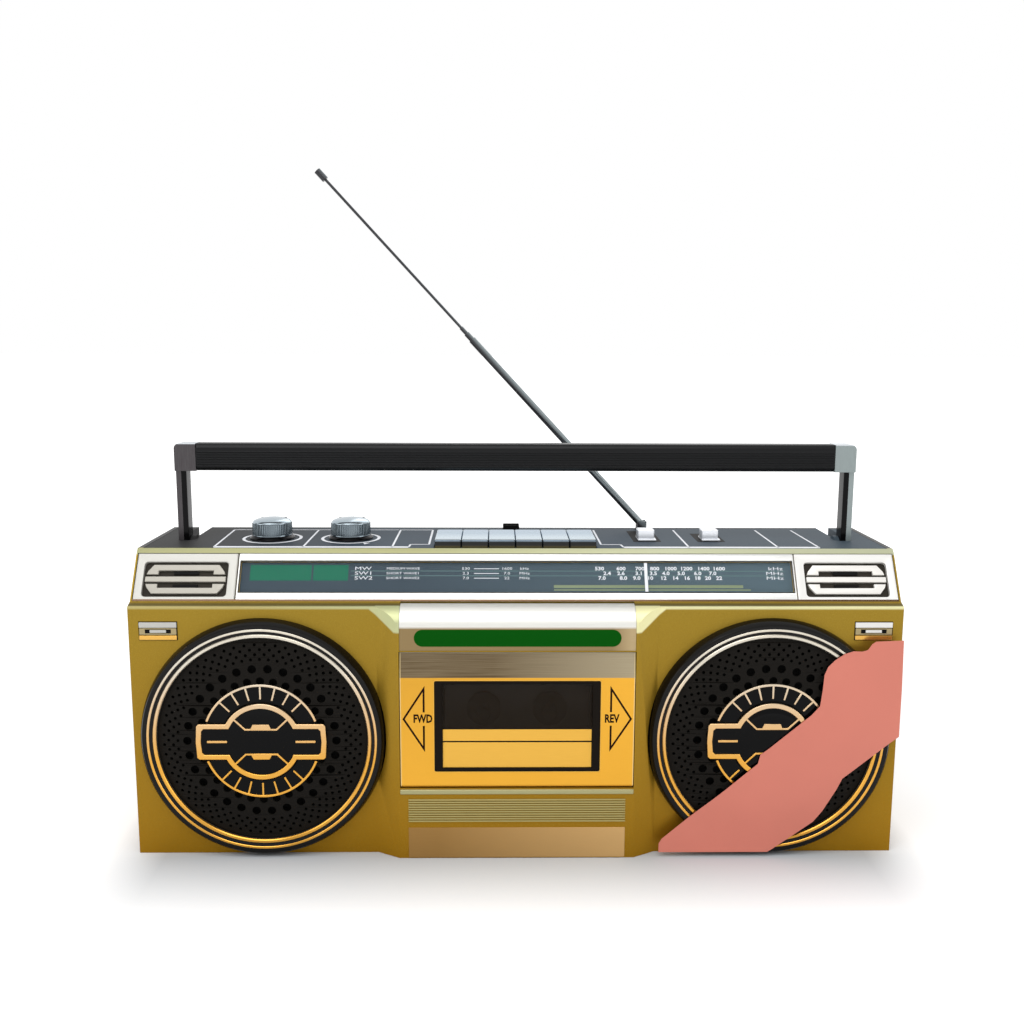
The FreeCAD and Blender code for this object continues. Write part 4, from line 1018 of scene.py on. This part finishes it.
class RECORDER_OT_corner_grilles(RecorderOperator, bpy.types.Operator):
    """The two slotted corner grilles"""

    bl_idname = "recorder.corner_grilles"
    bl_label = "Corner grilles"

    def build(self, detail):
        x0 = CORNER_LO[0]
        x1 = CORNER_HI[0]
        gap = 0.35 * MM
        opening = rectangle(x0 + 6 * MM, x1 - 5 * MM, 3.4 * MM, 26.3 * MM, 2.2 * MM)
        outer = rectangle(x0 + gap, x1, BANK_LOW, BANK_HIGH, 0.4 * MM)
        rim = plate("corner_rim", [outer, opening], on_slope(), 3 * MM, -3 * MM, 0.7 * MM)
        tray = rectangle(x0 + 5.5 * MM, x1 - 4.5 * MM, 3.0 * MM, 26.8 * MM, 2 * MM)
        floor = plate("corner_floor", [tray], on_slope(), 0.5 * MM, -2.95 * MM)
        c = (x0 + x1) / 2 + 0.5 * MM
        half, notch = 24.8, 17.3
        upper = [(c + u * MM, v * MM) for u, v in (
            (-half, 18.1), (-notch, 18.1), (-notch, 20.7), (notch, 20.7), (notch, 18.1), (half, 18.1),
            (half - 0.8, 20.4), (half - 4.2, 24.6), (4.2 - half, 24.6), (0.8 - half, 20.4))]
        middle = rectangle(c - (half + 0.6) * MM, c + (half + 0.6) * MM, 13.2 * MM, 16.8 * MM, 0.3 * MM)
        lower = [(x, 30.0 * MM - v) for x, v in upper]
        bars = plate("corner_bars", [upper, middle, lower], on_slope(), 2.2 * MM, -2.6 * MM, 0.35 * MM)
        inset = [rectangle(c - (notch - 9.5) * MM, c + (notch - 9.5) * MM, v * MM, (v + 2.0) * MM)
                 for v in (18.3, 9.7)]
        dark = plate("corner_dark", inset, on_slope(), 1.2 * MM, -2.6 * MM)
        pieces = (
            (rim, "rim", "corner_silver", "bright_trim"),
            (floor, "floor", "corner_dark", "inner_black"),
            (bars, "bars", "bar_silver", "bright_trim"),
            (dark, "slots", "matte_black", "inner_black"),
        )
        for side in ("right", "left"):
            for made, part, look, slot in pieces:
                obj = sided(made, "corner_" + part, side)
                if part == "rim":
                    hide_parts("corner_grille_" + side)
                dress(smooth(obj), look, "cabinet")


class RECORDER_OT_microphones(RecorderOperator, bpy.types.Operator):
    """The two microphone inserts beside the speakers"""

    bl_idname = "recorder.microphones"
    bl_label = "Microphones"

    def build(self, detail):
        x1 = MIC_HI[0]
        x0 = x1 - 24.2 * MM
        z0 = MIC_LO[2]
        z1 = MIC_HI[2]
        face = facing_front(BAFFLE)
        low, high = z0 / MM, z1 / MM
        sheets = {                       # margin, low, high, corner, thickness, lift, rounding, look
            "tray": (0, low, high, 0.5, 3, -2.8, 0.1, "matte_black"),
            "top": (0.4, high - 3.9, high - 0.5, 0.3, 0.7, 0.1, 0.2, "corner_silver"),
            "low": (0.4, low + 0.4, low + 3.2, 0.3, 0.7, 0.1, 0.2, "line_gold"),
            "mid": (0.6, low + 3.7, high - 4.3, 0.3, 0.5, 0.1, 0.1, "mic_bronze"),
            "bar": (7.0, low + 4.9, high - 5.4, 0.3, 0.6, 0.1, 0.15, "corner_silver"),
        }
        hole = rectangle(x0 + 4.0 * MM, x1 - 4.0 * MM, z0 + 4.5 * MM, z1 - 5.0 * MM)
        parts = {}
        for part, (margin, z_low, z_high, corner, thickness, lift, rounding, look) in sheets.items():
            loops = [rectangle(x0 + margin * MM, x1 - margin * MM, z_low * MM, z_high * MM, corner * MM)]
            if part == "mid":
                loops.append(hole)
            parts[part] = (plate(part, loops, face, thickness * MM, lift * MM, rounding * MM), look)
        for side in ("right", "left"):
            for part, (made, look) in parts.items():
                obj = sided(made, "mic_" + part, side)
                if part == "tray" and side == "right":
                    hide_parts("microphones")
                dress(obj, look, "cabinet")


class RECORDER_OT_speakers(RecorderOperator, bpy.types.Operator):
    """Speaker rings, perforated grilles and emblems"""

    bl_idname = "recorder.speakers"
    bl_label = "Speakers"

    def build(self, detail):
        right = Matrix.Translation((SPEAKER_X, 0, SPEAKER_Z)) @ facing_front(BAFFLE)
        proud = BAFFLE - RING_LO[1]
        r = RING_R / MM
        w = proud / MM
        inner = GRILLE_R / MM
        profile = mm([
            (r, 0), (r - 0.2, 1.6), (r - 1.4, w - 1.7), (r - 2.6, w - 0.3), (r - 3.8, w), (r - 7.2, w - 0.3),
            (inner + 2.6, w - 1.6), (inner + 0.2, w - 2.4), (inner + 0.2, 0), (r, 0)])
        body = turned("speaker_rim", profile, right, 128, capped=False)
        hoops = joined("speaker_hoops", [
            ring("outer", 70.3 * MM, 72.4 * MM, proud - 1.4 * MM, proud, right, 0.5 * MM, 128),
            ring("inner", 66.2 * MM, 68.6 * MM, proud - 2.8 * MM, proud - 0.5 * MM, right, 0.5 * MM, 128)])
        holes = []
        for radius, count, size, phase in self.hole_rows(detail):
            for i in range(count):
                a = 2 * math.pi * (i + phase) / count
                steps = 14 if size > 2 * MM else 8
                holes.append(circle(radius * math.cos(a), radius * math.sin(a), size, steps))
        crown = BAFFLE - GRILLE_FACE - GRILLE_EDGE

        def dome(radius):
            t = max(0.0, min(1.0, (GRILLE_R - radius) / (0.35 * GRILLE_R)))
            return crown * (1 - (1 - t) ** 2)

        mesh = plate("speaker_mesh", [circle(0, 0, GRILLE_R + 0.3 * MM, 128)] + holes, right, 1.0 * MM,
                     GRILLE_EDGE - 1.0 * MM)
        swollen(mesh, dome)
        well = turned("speaker_well", [(GRILLE_R, GRILLE_EDGE - 4 * MM), (GRILLE_R, GRILLE_EDGE - 2.6 * MM),
                                       (GRILLE_R - 0.5 * MM, GRILLE_EDGE - 2.6 * MM),
                                       (GRILLE_R - 2.0 * MM, GRILLE_EDGE - 3.6 * MM)], right, 96)
        emblem_black, emblem_gold = self.emblem(right, BAFFLE - GRILLE_FACE)
        pieces = [
            (body, "speaker_rim", "ring_black", "gloss_black", "speaker_ring"),
            (hoops, "speaker_hoops", "badge_gold", "emblem_gold", None),
            (mesh, "speaker_mesh", "grille_black", "panel_black", "speaker_grille"),
            (well, "speaker_well", "matte_black", "inner_black", None),
            (emblem_black, "emblem_base", "gloss_black", "gloss_black", "speaker_emblem"),
            (emblem_gold, "emblem_lines", "badge_gold", "emblem_gold", None),
        ]
        for made, name, look, slot, node in pieces:
            for side in ("right", "left"):
                obj = sided(made, name, side)
                if node:
                    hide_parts(node + "_" + side)
                dress(obj, look, "cabinet")

    def hole_rows(self, detail):
        """(radius, count, hole radius, phase) of each circle of holes."""
        rows = [(38.8 * MM, detail.big_holes, 2.6 * MM, 0.5), (46.6 * MM, detail.big_holes, 2.75 * MM, 0.0)]
        for i, r in enumerate((52.6, 55.6, 58.6, 61.6)):
            rows.append((r * MM, detail.small_holes, 1.05 * MM, 0.5 * (i % 2)))
        return rows

    def emblem(self, matrix, w):
        """The black badge plate and the plated lines on it, about the speaker's middle."""
        half_bar = 40.2 * MM
        high = 11.6 * MM
        arch = 24.8 * MM

        def outline(shrink):
            x = half_bar - shrink
            y = high - shrink
            r = arch - shrink
            lean = math.degrees(math.asin(y / r))
            upper = arc(0, 0, r, lean, 180 - lean, 32)
            lower = arc(0, 0, r, 180 + lean, 360 - lean, 32)
            ends = 1.4 * MM
            return (upper + [(-x + ends, y), (-x, y - ends), (-x - 0.6 * MM, 0), (-x, ends - y), (ends - x, -y)]
                    + lower + [(x - ends, -y), (x, ends - y), (x + 0.6 * MM, 0), (x, y - ends), (x - ends, y)])

        base = plate("emblem_base", [outline(0.3 * MM)], matrix, 1.5 * MM, w, 0.2 * MM)
        profile = ((21.0, 1.3), (20.6, 1.52), (16.0, 1.85), (9.0, 2.1), (1.0, 2.2))
        dome = turned("emblem_dome", [(r * MM, w + rise * MM) for r, rise in profile], matrix, 64)
        wings = [plate("wing", [arc(0, 0, 36.2 * MM, a, b, 40) + arc(0, 0, arch + 1.0 * MM, b, a, 40)], matrix,
                       0.6 * MM, w) for a, b in ((22, 158), (202, 338))]
        base = joined("emblem_base", [base, dome] + wings)
        lines = [plate("frame", [outline(0), outline(3.2 * MM)], matrix, 1.6 * MM, w + 0.9 * MM, 0.45 * MM)]
        for start, end in ((21, 159), (201, 339)):
            band = arc(0, 0, 37.0 * MM, start, end, 48) + arc(0, 0, 35.5 * MM, end, start, 48)
            lines.append(plate("ring", [band], matrix, 1.2 * MM, w, 0.25 * MM))
        for middle in (90, 270):
            for i in range(-3, 4):
                a = math.radians(middle + 15 * i)
                tick = [(math.cos(a) * r, math.sin(a) * r) for r in (27.4 * MM, 35.8 * MM)]
                lines.append(plate("tick", [ribbon(tick, 1.15 * MM)], matrix, 1.1 * MM, w, 0.2 * MM))
        lift = w + 1.5 * MM
        for sign in (1, -1):
            web = mm([(-16.6, 14.6 * sign), (-9.8, 8.1 * sign), (9.8, 8.1 * sign), (16.6, 14.6 * sign)])
            lines.append(plate("web", [ribbon(web, 1.15 * MM)], matrix, 0.9 * MM, lift, 0.15 * MM))
            wedge = mm([(-6.8, 7.7 * sign), (6.8, 7.7 * sign), (5.0, 11.4 * sign), (-5.0, 11.4 * sign)])
            lines.append(plate("wedge", [wedge], matrix, 1.0 * MM, lift, 0.2 * MM))
            dash = sorted((sign * 21.4 * MM, sign * 33.8 * MM))
            lines.append(plate("dash", [rectangle(dash[0], dash[1], -0.7 * MM, 0.7 * MM)], matrix,
                               0.6 * MM, w + 1.4 * MM, 0.1 * MM))
        return base, joined("emblem_lines", lines)


class RECORDER_OT_door(RecorderOperator, bpy.types.Operator):
    """The cassette door with its window, arrows and holder"""

    bl_idname = "recorder.door"
    bl_label = "Cassette door"

    def build(self, detail):
        dress(refined("cassette_door", 0.35 * MM), "door_metal", "door")
        face = facing_front(CENTRE)
        outer = around(WINDOW_LO, WINDOW_HI, 2.6, 0.9, 0.9, 1.2)
        inner = centred(47.0 * MM, WINDOW_LO[2] + 1.3 * MM, WINDOW_HI[2] - 1.4 * MM, 0.5 * MM)
        rim = plate("window_rim", [outer, inner], face, 1.1 * MM, -1.05 * MM, 0.3 * MM)
        dress(smooth(rim), "rim_brown", "door")
        bead = plate("window_bead", [around(WINDOW_LO, WINDOW_HI, 3.1, 1.4, 1.4, 1.5), outer], face, 0.25 * MM,
                     -0.05 * MM)
        dress(bead, "band_gold", "door")
        pane = plate("window_pane", [around(WINDOW_LO, WINDOW_HI, -0.1, -0.1, -0.1, 0.5)], face, 1.2 * MM,
                     -2.6 * MM, 0.1 * MM)
        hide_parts("door_window")
        dress(pane, "smoked", "door")
        split = 77.4 * MM
        bands = [centred(46.8 * MM, 60.4 * MM, split - 0.5 * MM, 0.2 * MM),
                 centred(46.8 * MM, split + 0.5 * MM, 85.4 * MM, 0.2 * MM)]
        band = plate("window_band", bands, face, 0.3 * MM, -1.3 * MM, 0.1 * MM)
        dress(band, "band_gold", "door")
        arrows = []
        z, reach, gap = 92.6 * MM, 19.6 * MM, 4.4 * MM
        for sign, text in ((-1, "FWD"), (1, "REV")):
            tip = sign * 71.2 * MM
            side = sign * 58.6 * MM
            line = ribbon([(side, z + gap), (side, z + reach), (tip, z), (side, z - reach), (side, z - gap)],
                          1.25 * MM)
            arrows.append(plate("arrow", [line], face, 0.05 * MM))
            arrows.append(words("arrow_word", text, (sign * 59.2 * MM, z), 7.4 * MM, face, 0.72,
                                bold=0.26 * MM))
        dress(joined("door_arrows", arrows), "print_dark", "door")
        # painted shadow: a dark sheet behind the front round the door, in the gap between door and case; it
        # shares the dark of the printed arrows
        gap_shadow = plate("door_gap", [
            centred(DOOR_HALF + 1.4 * MM, DOOR_LO[2] + 1 * MM, DOOR_HI[2] + 1.2 * MM),
            centred(DOOR_HALF + 0.02 * MM, DOOR_LO[2] + 2 * MM, DOOR_HI[2] + 0.04 * MM)],
            face, 0.3 * MM, -1.1 * MM)
        dress(gap_shadow, "print_dark", "cabinet")
        coat("cassette_holder", "matte_black")


class RECORDER_OT_deck(RecorderOperator, bpy.types.Operator):
    """Finishes of the tape mechanism and the pieces inside"""

    bl_idname = "recorder.deck"
    bl_label = "Deck and inner pieces"

    def build(self, detail):
        looks = {
            "matte_black": ("woofers", "supply_reel_table", "takeup_reel_table"),
            "brass": ("flywheel", "motor_pulley"),
            "deck_steel": ("deck_chassis", "drive_motor", "head_block", "key_frame", "control_bodies",
                           "tuning_capacitor", "power_transformer", "screws"),
            "rubber": ("drive_belt", "pinch_roller"),
            "dial_slate": ("dial_scale_plate",),
            "board": ("main_circuit_board",),
            "gloss_black": ("ac_inlet", "headphone_jack"),
        }
        for look, nodes in looks.items():
            for node in nodes:
                coat(node, look)


class RECORDER_OT_keys(RecorderOperator, bpy.types.Operator):
    """The six chrome piano keys"""

    bl_idname = "recorder.keys"
    bl_label = "Keys"

    def build(self, detail):
        for name in KEYS:
            lo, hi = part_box(name)
            y1 = lo[1] + 39.2 * MM
            cap = block(name + "_cap", (lo[0], lo[1] + 0.1 * MM, TOP - 1.5 * MM), (hi[0], y1, hi[2]),
                        0.9 * MM, 3)
            dress(cap, "key_chrome", name)
            band = block(name + "_band", (lo[0] + 0.25 * MM, lo[1], TOP - 1.3 * MM),
                         (hi[0] - 0.25 * MM, lo[1] + 1.2 * MM, hi[2] - 1.2 * MM), 0.3 * MM)
            dress(band, "key_front", name)
            lever = refined(name, 0.2 * MM)
            only(lever)
            bpy.ops.object.mode_set(mode="EDIT")
            bpy.ops.mesh.select_all(action="SELECT")
            bpy.ops.mesh.bisect(plane_co=(0, 0, TOP - 1.6 * MM), plane_no=(0, 0, 1), use_fill=True,
                                clear_outer=True)
            bpy.ops.object.mode_set(mode="OBJECT")
            dress(lever, "matte_black", name)


class RECORDER_OT_knobs(RecorderOperator, bpy.types.Operator):
    """Volume and tone knobs, with knurled sides, and gloss black marks on the tops as painted shade for their
    notches
    """

    bl_idname = "recorder.knobs"
    bl_label = "Knobs"

    def build(self, detail):
        for node, body in (("volume_knob", "volume"), ("tone_knob", "tone")):
            lo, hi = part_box(node)
            at = Matrix.Translation(((lo[0] + hi[0]) / 2, (lo[1] + hi[1]) / 2, TOP))
            r = 13.3
            high = (hi[2] - TOP) / MM
            profile = mm([(3.4, 0.3), (r + 1.6, 0.3), (r + 1.5, 0.9), (r + 0.3, 2.2), (r - 1.0, 2.7), (3.4, 2.8)])
            skirt = turned(node + "_skirt", profile, at, 96)
            dress(skirt, "gloss_black", body)
            crown = turned(node + "_crown", mm([
                (2.9, -13), (2.9, 2.4), (r - 0.2, 2.4), (r, 2.8), (r - 0.1, 3.4), (r - 0.7, 3.6),
                (r - 0.9, high - 3.7), (r - 0.5, high - 3.5), (r - 0.6, high - 2.9), (r - 1.4, high - 2.0),
                (r - 3.0, high - 1.3), (r - 5.5, high - 0.7), (r - 9.0, high - 0.2), (1.0, high)]), at, 96)
            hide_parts(node)
            dress(crown, "knob_chrome", body)
            low_end = Vector((r - 1.4, -0.4, 3.4)) * MM
            ridges = [block("ridge", low_end, Vector((r - 0.1, 0.4, high - 3.6)) * MM, 0.2 * MM, 1)]
            for _ in range(detail.knurls - 1):
                copy = ridges[0].copy()
                copy.data = ridges[0].data.copy()
                bpy.context.collection.objects.link(copy)
                ridges.append(copy)
            for i, copy in enumerate(ridges):
                settle(copy, at @ Matrix.Rotation(2 * math.pi * i / detail.knurls, 4, "Z"))
            dress(joined(node + "_knurl", ridges), "knob_chrome", body)
            notch_shades = []
            # painted shade: gloss black marks stand for the shade in the crown's two notches
            for angle in (40, 140):
                a = math.radians(angle)
                mark = ribbon(mm([(math.cos(a) * q, math.sin(a) * q) for q in (r - 4.4, r - 2.6)]), 1.3 * MM)
                notch_shades.append(plate("notch", [mark], at, 0.6 * MM, (high - 1.55) * MM, 0.1 * MM))
            dress(joined(node + "_notches", notch_shades), "gloss_black", body)


class RECORDER_OT_sliders(RecorderOperator, bpy.types.Operator):
    """The two slide switch caps in their sunk tracks"""

    bl_idname = "recorder.sliders"
    bl_label = "Slide switches"

    def build(self, detail):
        for node, body, reach in (("function_switch_knob", "function_switch", 40.0),
                                  ("band_switch_knob", "band_switch", 30.0)):
            lo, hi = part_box(node)
            x = (lo[0] + hi[0]) / 2
            y0 = lo[1]
            track = plate(node + "_track", [rectangle(x - 9.2 * MM, x + 9.2 * MM, y0 - 1.5 * MM,
                                                      y0 + reach * MM, 0.6 * MM),
                                            rectangle(x - 2.4 * MM, x + 2.4 * MM, y0 + 3.0 * MM,
                                                      y0 + reach * MM - 3 * MM)], facing_up(TOP), 0.05 * MM)
            dress(track, "matte_black", "cabinet")
            skirt = block(node + "_skirt", (x - 6.1 * MM, y0, TOP + 0.15 * MM),
                          (x + 6.1 * MM, y0 + 14.5 * MM, TOP + 1.6 * MM), 0.5 * MM)
            grip = block(node + "_grip", (x - 6.0 * MM, y0 + 1.5 * MM, TOP + 0.8 * MM),
                         (x + 5.0 * MM, y0 + 12.0 * MM, TOP + 7.5 * MM), 0.7 * MM, 3)
            stem = block(node + "_stem", (x - 2.1 * MM, y0 + 3.6 * MM, TOP - 6 * MM),
                         (x + 2.1 * MM, y0 + 9.4 * MM, TOP + 1 * MM), 0.2 * MM)
            cap = joined(node + "_cap", [skirt, grip, stem])
            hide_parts(node)
            dress(cap, "bright_chrome", body)


class RECORDER_OT_handle(RecorderOperator, bpy.types.Operator):
    """The folding handle: ribbed grip and plated arms"""

    bl_idname = "recorder.handle"
    bl_label = "Handle"

    def build(self, detail):
        grip = refined("handle_grip", 0.6 * MM, 3, 60)
        dress(grip, "grip_black", "handle")
        ribs = []
        z0 = GRIP_LO[2] + 2.6 * MM
        pitch = (GRIP_HI[2] - GRIP_LO[2] - 7.0 * MM) / detail.grip_ribs
        for i in range(detail.grip_ribs):
            for y in (GRIP_LO[1] - 0.35 * MM, GRIP_HI[1] - 0.35 * MM):
                z = z0 + i * pitch
                ribs.append(block("rib", (GRIP_LO[0] + 0.5 * MM, y, z),
                                  (GRIP_HI[0] - 0.5 * MM, y + 0.7 * MM, z + pitch * 0.62), 0.3 * MM, 1))
        dress(joined("grip_ribs", ribs), "grip_black", "handle")
        inlay = block("arm_inlay_right", (ARM_IN - 0.2 * MM, GRIP_LO[1] + 1.85 * MM, TOP - 3.5 * MM),
                      (ARM_IN + 3.5 * MM, GRIP_HI[1] - 1.85 * MM, GRIP_LO[2] + 0.6 * MM), 0.6 * MM)
        for obj in (inlay, mirrored(inlay, "arm_inlay_left")):
            dress(obj, "gloss_black", "handle")
        for side in ("left", "right"):
            arm = refined("handle_arm_" + side, 0.6 * MM, 3, 40)
            dress(arm, "arm_chrome", "handle")


class RECORDER_OT_aerial(RecorderOperator, bpy.types.Operator):
    """The telescopic aerial, its swivel and its rest clip"""

    bl_idname = "recorder.aerial"
    bl_label = "Aerial"

    def build(self, detail):
        dress(refined("antenna_base", 0.35 * MM), "aerial_chrome", "aerial_base")
        for i in range(1, 5):
            node = "antenna_section_" + str(i)
            dress(refined(node, 0.12 * MM, 2, 50), "aerial_chrome", "aerial_" + str(i))
        dress(refined("antenna_clip", 0.5 * MM, 3), "matte_black", "cabinet")


class RECORDER_OT_back(RecorderOperator, bpy.types.Operator):
    """The battery door and the tuning knob at the side"""

    bl_idname = "recorder.back"
    bl_label = "Back and side"

    def build(self, detail):
        dress(refined("battery_door", 0.4 * MM), "gold_paint", "battery_lid")
        dress(refined("tuning_knob", 0.5 * MM), "gloss_black", "tuning")


class RECORDER_OT_sticker(RecorderOperator, bpy.types.Operator):
    """The plain film sticker that bridges the right speaker and the centre"""

    bl_idname = "recorder.sticker"
    bl_label = "Sticker"

    def build(self, detail):
        """The film lies on the speaker's rim and rises over the badge."""
        over = RING_LO[1] - BADGE_FACE + 0.1 * MM
        film = plate("sticker", [STICKER_OUTLINE], facing_front(RING_LO[1]), 0.2 * MM, 0.25 * MM)
        sliced(film, 0, [(92 + 5 * i) * MM for i in range(30)])
        sliced(film, 2, [(5 + 5 * i) * MM for i in range(28)])

        def rise(r):
            t = max(0.0, min(1.0, (RING_R - r) / (RING_R - 41 * MM)))
            return over * t * t * (3 - 2 * t)

        smooth(swollen(film, rise))
        dress(film, "sticker_film", "cabinet")


STICKER_OUTLINE = [(x * MM, z * MM) for x, z in (
    (90.8, 3.2), (90.8, 9.0), (92.6, 12.2), (151.8, 63.6), (153.2, 69.6), (158.5, 73.6), (184.4, 95.6),
    (189.4, 101.4), (190.6, 112.0), (191.4, 121.4), (193.6, 126.4), (198.0, 130.6), (204.0, 134.4),
    (209.4, 136.2), (215.0, 136.0), (218.4, 137.0), (221.0, 140.8), (223.4, 142.4), (240.6, 143.1),
    (241.2, 112.0), (241.2, 80.4), (206.0, 53.4), (202.6, 46.0), (194.4, 31.4), (189.0, 24.2),
    (163.8, 5.2), (160.6, 3.2))]


FLOOR_LIFT = 0.66                        # glow that brings the open floor up to white
LAMP_AIM = Vector((0, 0, 0.1))
CAMERA_AT = Vector((-13.5 * MM, BAFFLE - 646.9 * MM, 324.3 * MM))
CAMERA_PITCH, CAMERA_YAW, CAMERA_ROLL = 0.156, 0.015, 0.004


class RECORDER_OT_stage(bpy.types.Operator):
    """Floor, lamps, surroundings and camera"""

    bl_idname = "recorder.stage"
    bl_label = "Stage"

    def execute(self, context):
        settings = context.scene.recorder_stage
        self.floor()
        self.world(settings)
        self.lamps(settings)
        self.camera(settings)
        context.scene.view_settings.view_transform = "Standard"
        return {"FINISHED"}

    def floor(self):
        bpy.ops.mesh.primitive_plane_add(size=60, location=(0, 0, -0.1 * MM))
        floor = bpy.context.object
        floor.name = "floor"
        bpy.ops.object.mode_set(mode="EDIT")
        bpy.ops.mesh.subdivide(number_cuts=4)
        bpy.ops.object.mode_set(mode="OBJECT")
        settle(floor)
        f = Finish("studio_floor", (0.88, 0.88, 0.88), 0.0, 0.9, shine=0.0)
        seen = f.node("ShaderNodeLightPath", output=0)
        for output in (3, 6):
            seen = f.node("ShaderNodeMath", {"operation": "MAXIMUM"},
                          {0: seen, 1: f.node("ShaderNodeLightPath", output=output)})
        away = f.node("ShaderNodeVectorMath", {"operation": "LENGTH"}, {0: f.place()}, output=1)
        # painted shadow: round the footprint the floor gets no glow
        shadow_patch = 1 - abs(f.axis(0)).above(HALF + 2.0 * MM, 40.0 * MM)
        shadow_patch = shadow_patch * (1 - abs(f.axis(1)).above(BACK + 36.0 * MM, 75.0 * MM))
        spread = f.blend(away.above(0.9, 1.0), tint([FLOOR_LIFT] * 3), (0.9, 0.9, 0.9, 1))
        spread = f.blend(shadow_patch, spread, (0, 0, 0, 1))
        # painted shadow: darker floor colour round the footprint
        f.feed("Base Color", f.blend(shadow_patch, (0.88, 0.88, 0.88), (0.76, 0.775, 0.79)))
        f.feed("Emission Color", f.blend(seen, (0, 0, 0, 1), spread))
        f.feed("Emission Strength", 1.0)
        floor.data.materials.append(f.material)

    def world(self, settings):
        world = bpy.data.worlds.new("studio")
        bpy.context.scene.world = world
        world.use_nodes = True
        nodes = world.node_tree.nodes
        links = world.node_tree.links
        nodes.clear()
        path = nodes.new("ShaderNodeLightPath")
        seen = path.outputs["Is Camera Ray"]
        for kind in ("Is Glossy Ray", "Is Transmission Ray"):
            either = nodes.new("ShaderNodeMath")
            either.operation = "MAXIMUM"
            links.new(seen, either.inputs[0])
            links.new(path.outputs[kind], either.inputs[1])
            seen = either.outputs[0]
        strength = nodes.new("ShaderNodeMapRange")
        strength.inputs["To Min"].default_value = settings.world_level
        strength.inputs["To Max"].default_value = 1.0
        links.new(seen, strength.inputs["Value"])
        background = nodes.new("ShaderNodeBackground")
        background.inputs["Color"].default_value = (1, 1, 1, 1)
        links.new(strength.outputs[0], background.inputs["Strength"])
        output = nodes.new("ShaderNodeOutputWorld")
        links.new(background.outputs[0], output.inputs[0])

    def lamps(self, settings):
        spots = (("key_lamp", (-0.2, -0.75, 1.25), 1.1, settings.key_power),
                 ("left_lamp", (-1.4, -0.5, 0.7), 0.8, settings.fill_power),
                 ("right_lamp", (1.4, -0.5, 0.6), 0.8, settings.fill_power),
                 ("back_lamp", (0.2, 1.3, 1.1), 0.9, settings.fill_power))
        for name, place, size, power in spots:
            lamp = bpy.data.lights.new(name, "AREA")
            lamp.shape = "SQUARE"
            lamp.size = size
            lamp.energy = power
            obj = bpy.data.objects.new(name, lamp)
            bpy.context.collection.objects.link(obj)
            obj.location = place
            obj.rotation_euler = (LAMP_AIM - Vector(place)).to_track_quat("-Z", "Y").to_euler()

    def camera(self, settings):
        pitch, yaw, roll = CAMERA_PITCH, CAMERA_YAW, CAMERA_ROLL
        ahead = Vector((math.sin(yaw) * math.cos(pitch), math.cos(yaw) * math.cos(pitch), -math.sin(pitch)))
        level = Vector((math.cos(yaw), -math.sin(yaw), 0))
        upward = level.cross(ahead)
        right = level * math.cos(roll) + upward * math.sin(roll)
        up = upward * math.cos(roll) - level * math.sin(roll)
        turn = Matrix((right, up, -ahead)).transposed().to_4x4()
        lens = bpy.data.cameras.new("camera")
        lens.lens = settings.focal_length
        lens.clip_end = 50
        camera = bpy.data.objects.new("camera", lens)
        bpy.context.collection.objects.link(camera)
        camera.matrix_world = Matrix.Translation(CAMERA_AT) @ turn
        bpy.context.scene.camera = camera


STEPS = (RECORDER_OT_case, RECORDER_OT_header, RECORDER_OT_top_panel, RECORDER_OT_dial,
         RECORDER_OT_corner_grilles, RECORDER_OT_microphones, RECORDER_OT_speakers, RECORDER_OT_door,
         RECORDER_OT_deck, RECORDER_OT_keys, RECORDER_OT_knobs, RECORDER_OT_sliders, RECORDER_OT_handle,
         RECORDER_OT_aerial, RECORDER_OT_back, RECORDER_OT_sticker, RECORDER_OT_stage)


class RECORDER_PT_panel(bpy.types.Panel):
    """Sidebar list of the settings and build steps"""

    bl_label = "Recorder"
    bl_space_type = "VIEW_3D"
    bl_region_type = "UI"
    bl_category = "Recorder"

    def draw(self, context):
        scene = context.scene
        for group in (scene.recorder_finish, scene.recorder_detail, scene.recorder_stage):
            box = self.layout.box()
            for key in group.__annotations__:
                box.prop(group, key)
        for step in STEPS:
            self.layout.operator(step.bl_idname)


CLASSES = (RecorderFinish, RecorderDetail, RecorderStage) + STEPS + (RECORDER_PT_panel,)


def register():
    for cls in CLASSES:
        bpy.utils.register_class(cls)
    bpy.types.Scene.recorder_finish = PointerProperty(type=RecorderFinish)
    bpy.types.Scene.recorder_detail = PointerProperty(type=RecorderDetail)
    bpy.types.Scene.recorder_stage = PointerProperty(type=RecorderStage)


def unregister():
    del bpy.types.Scene.recorder_finish
    del bpy.types.Scene.recorder_detail
    del bpy.types.Scene.recorder_stage
    for cls in reversed(CLASSES):
        bpy.utils.unregister_class(cls)


def main():
    register()
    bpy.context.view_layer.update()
    for step in STEPS:
        group, name = step.bl_idname.split(".")
        getattr(getattr(bpy.ops, group), name)()


if __name__ == "__main__":
    main()
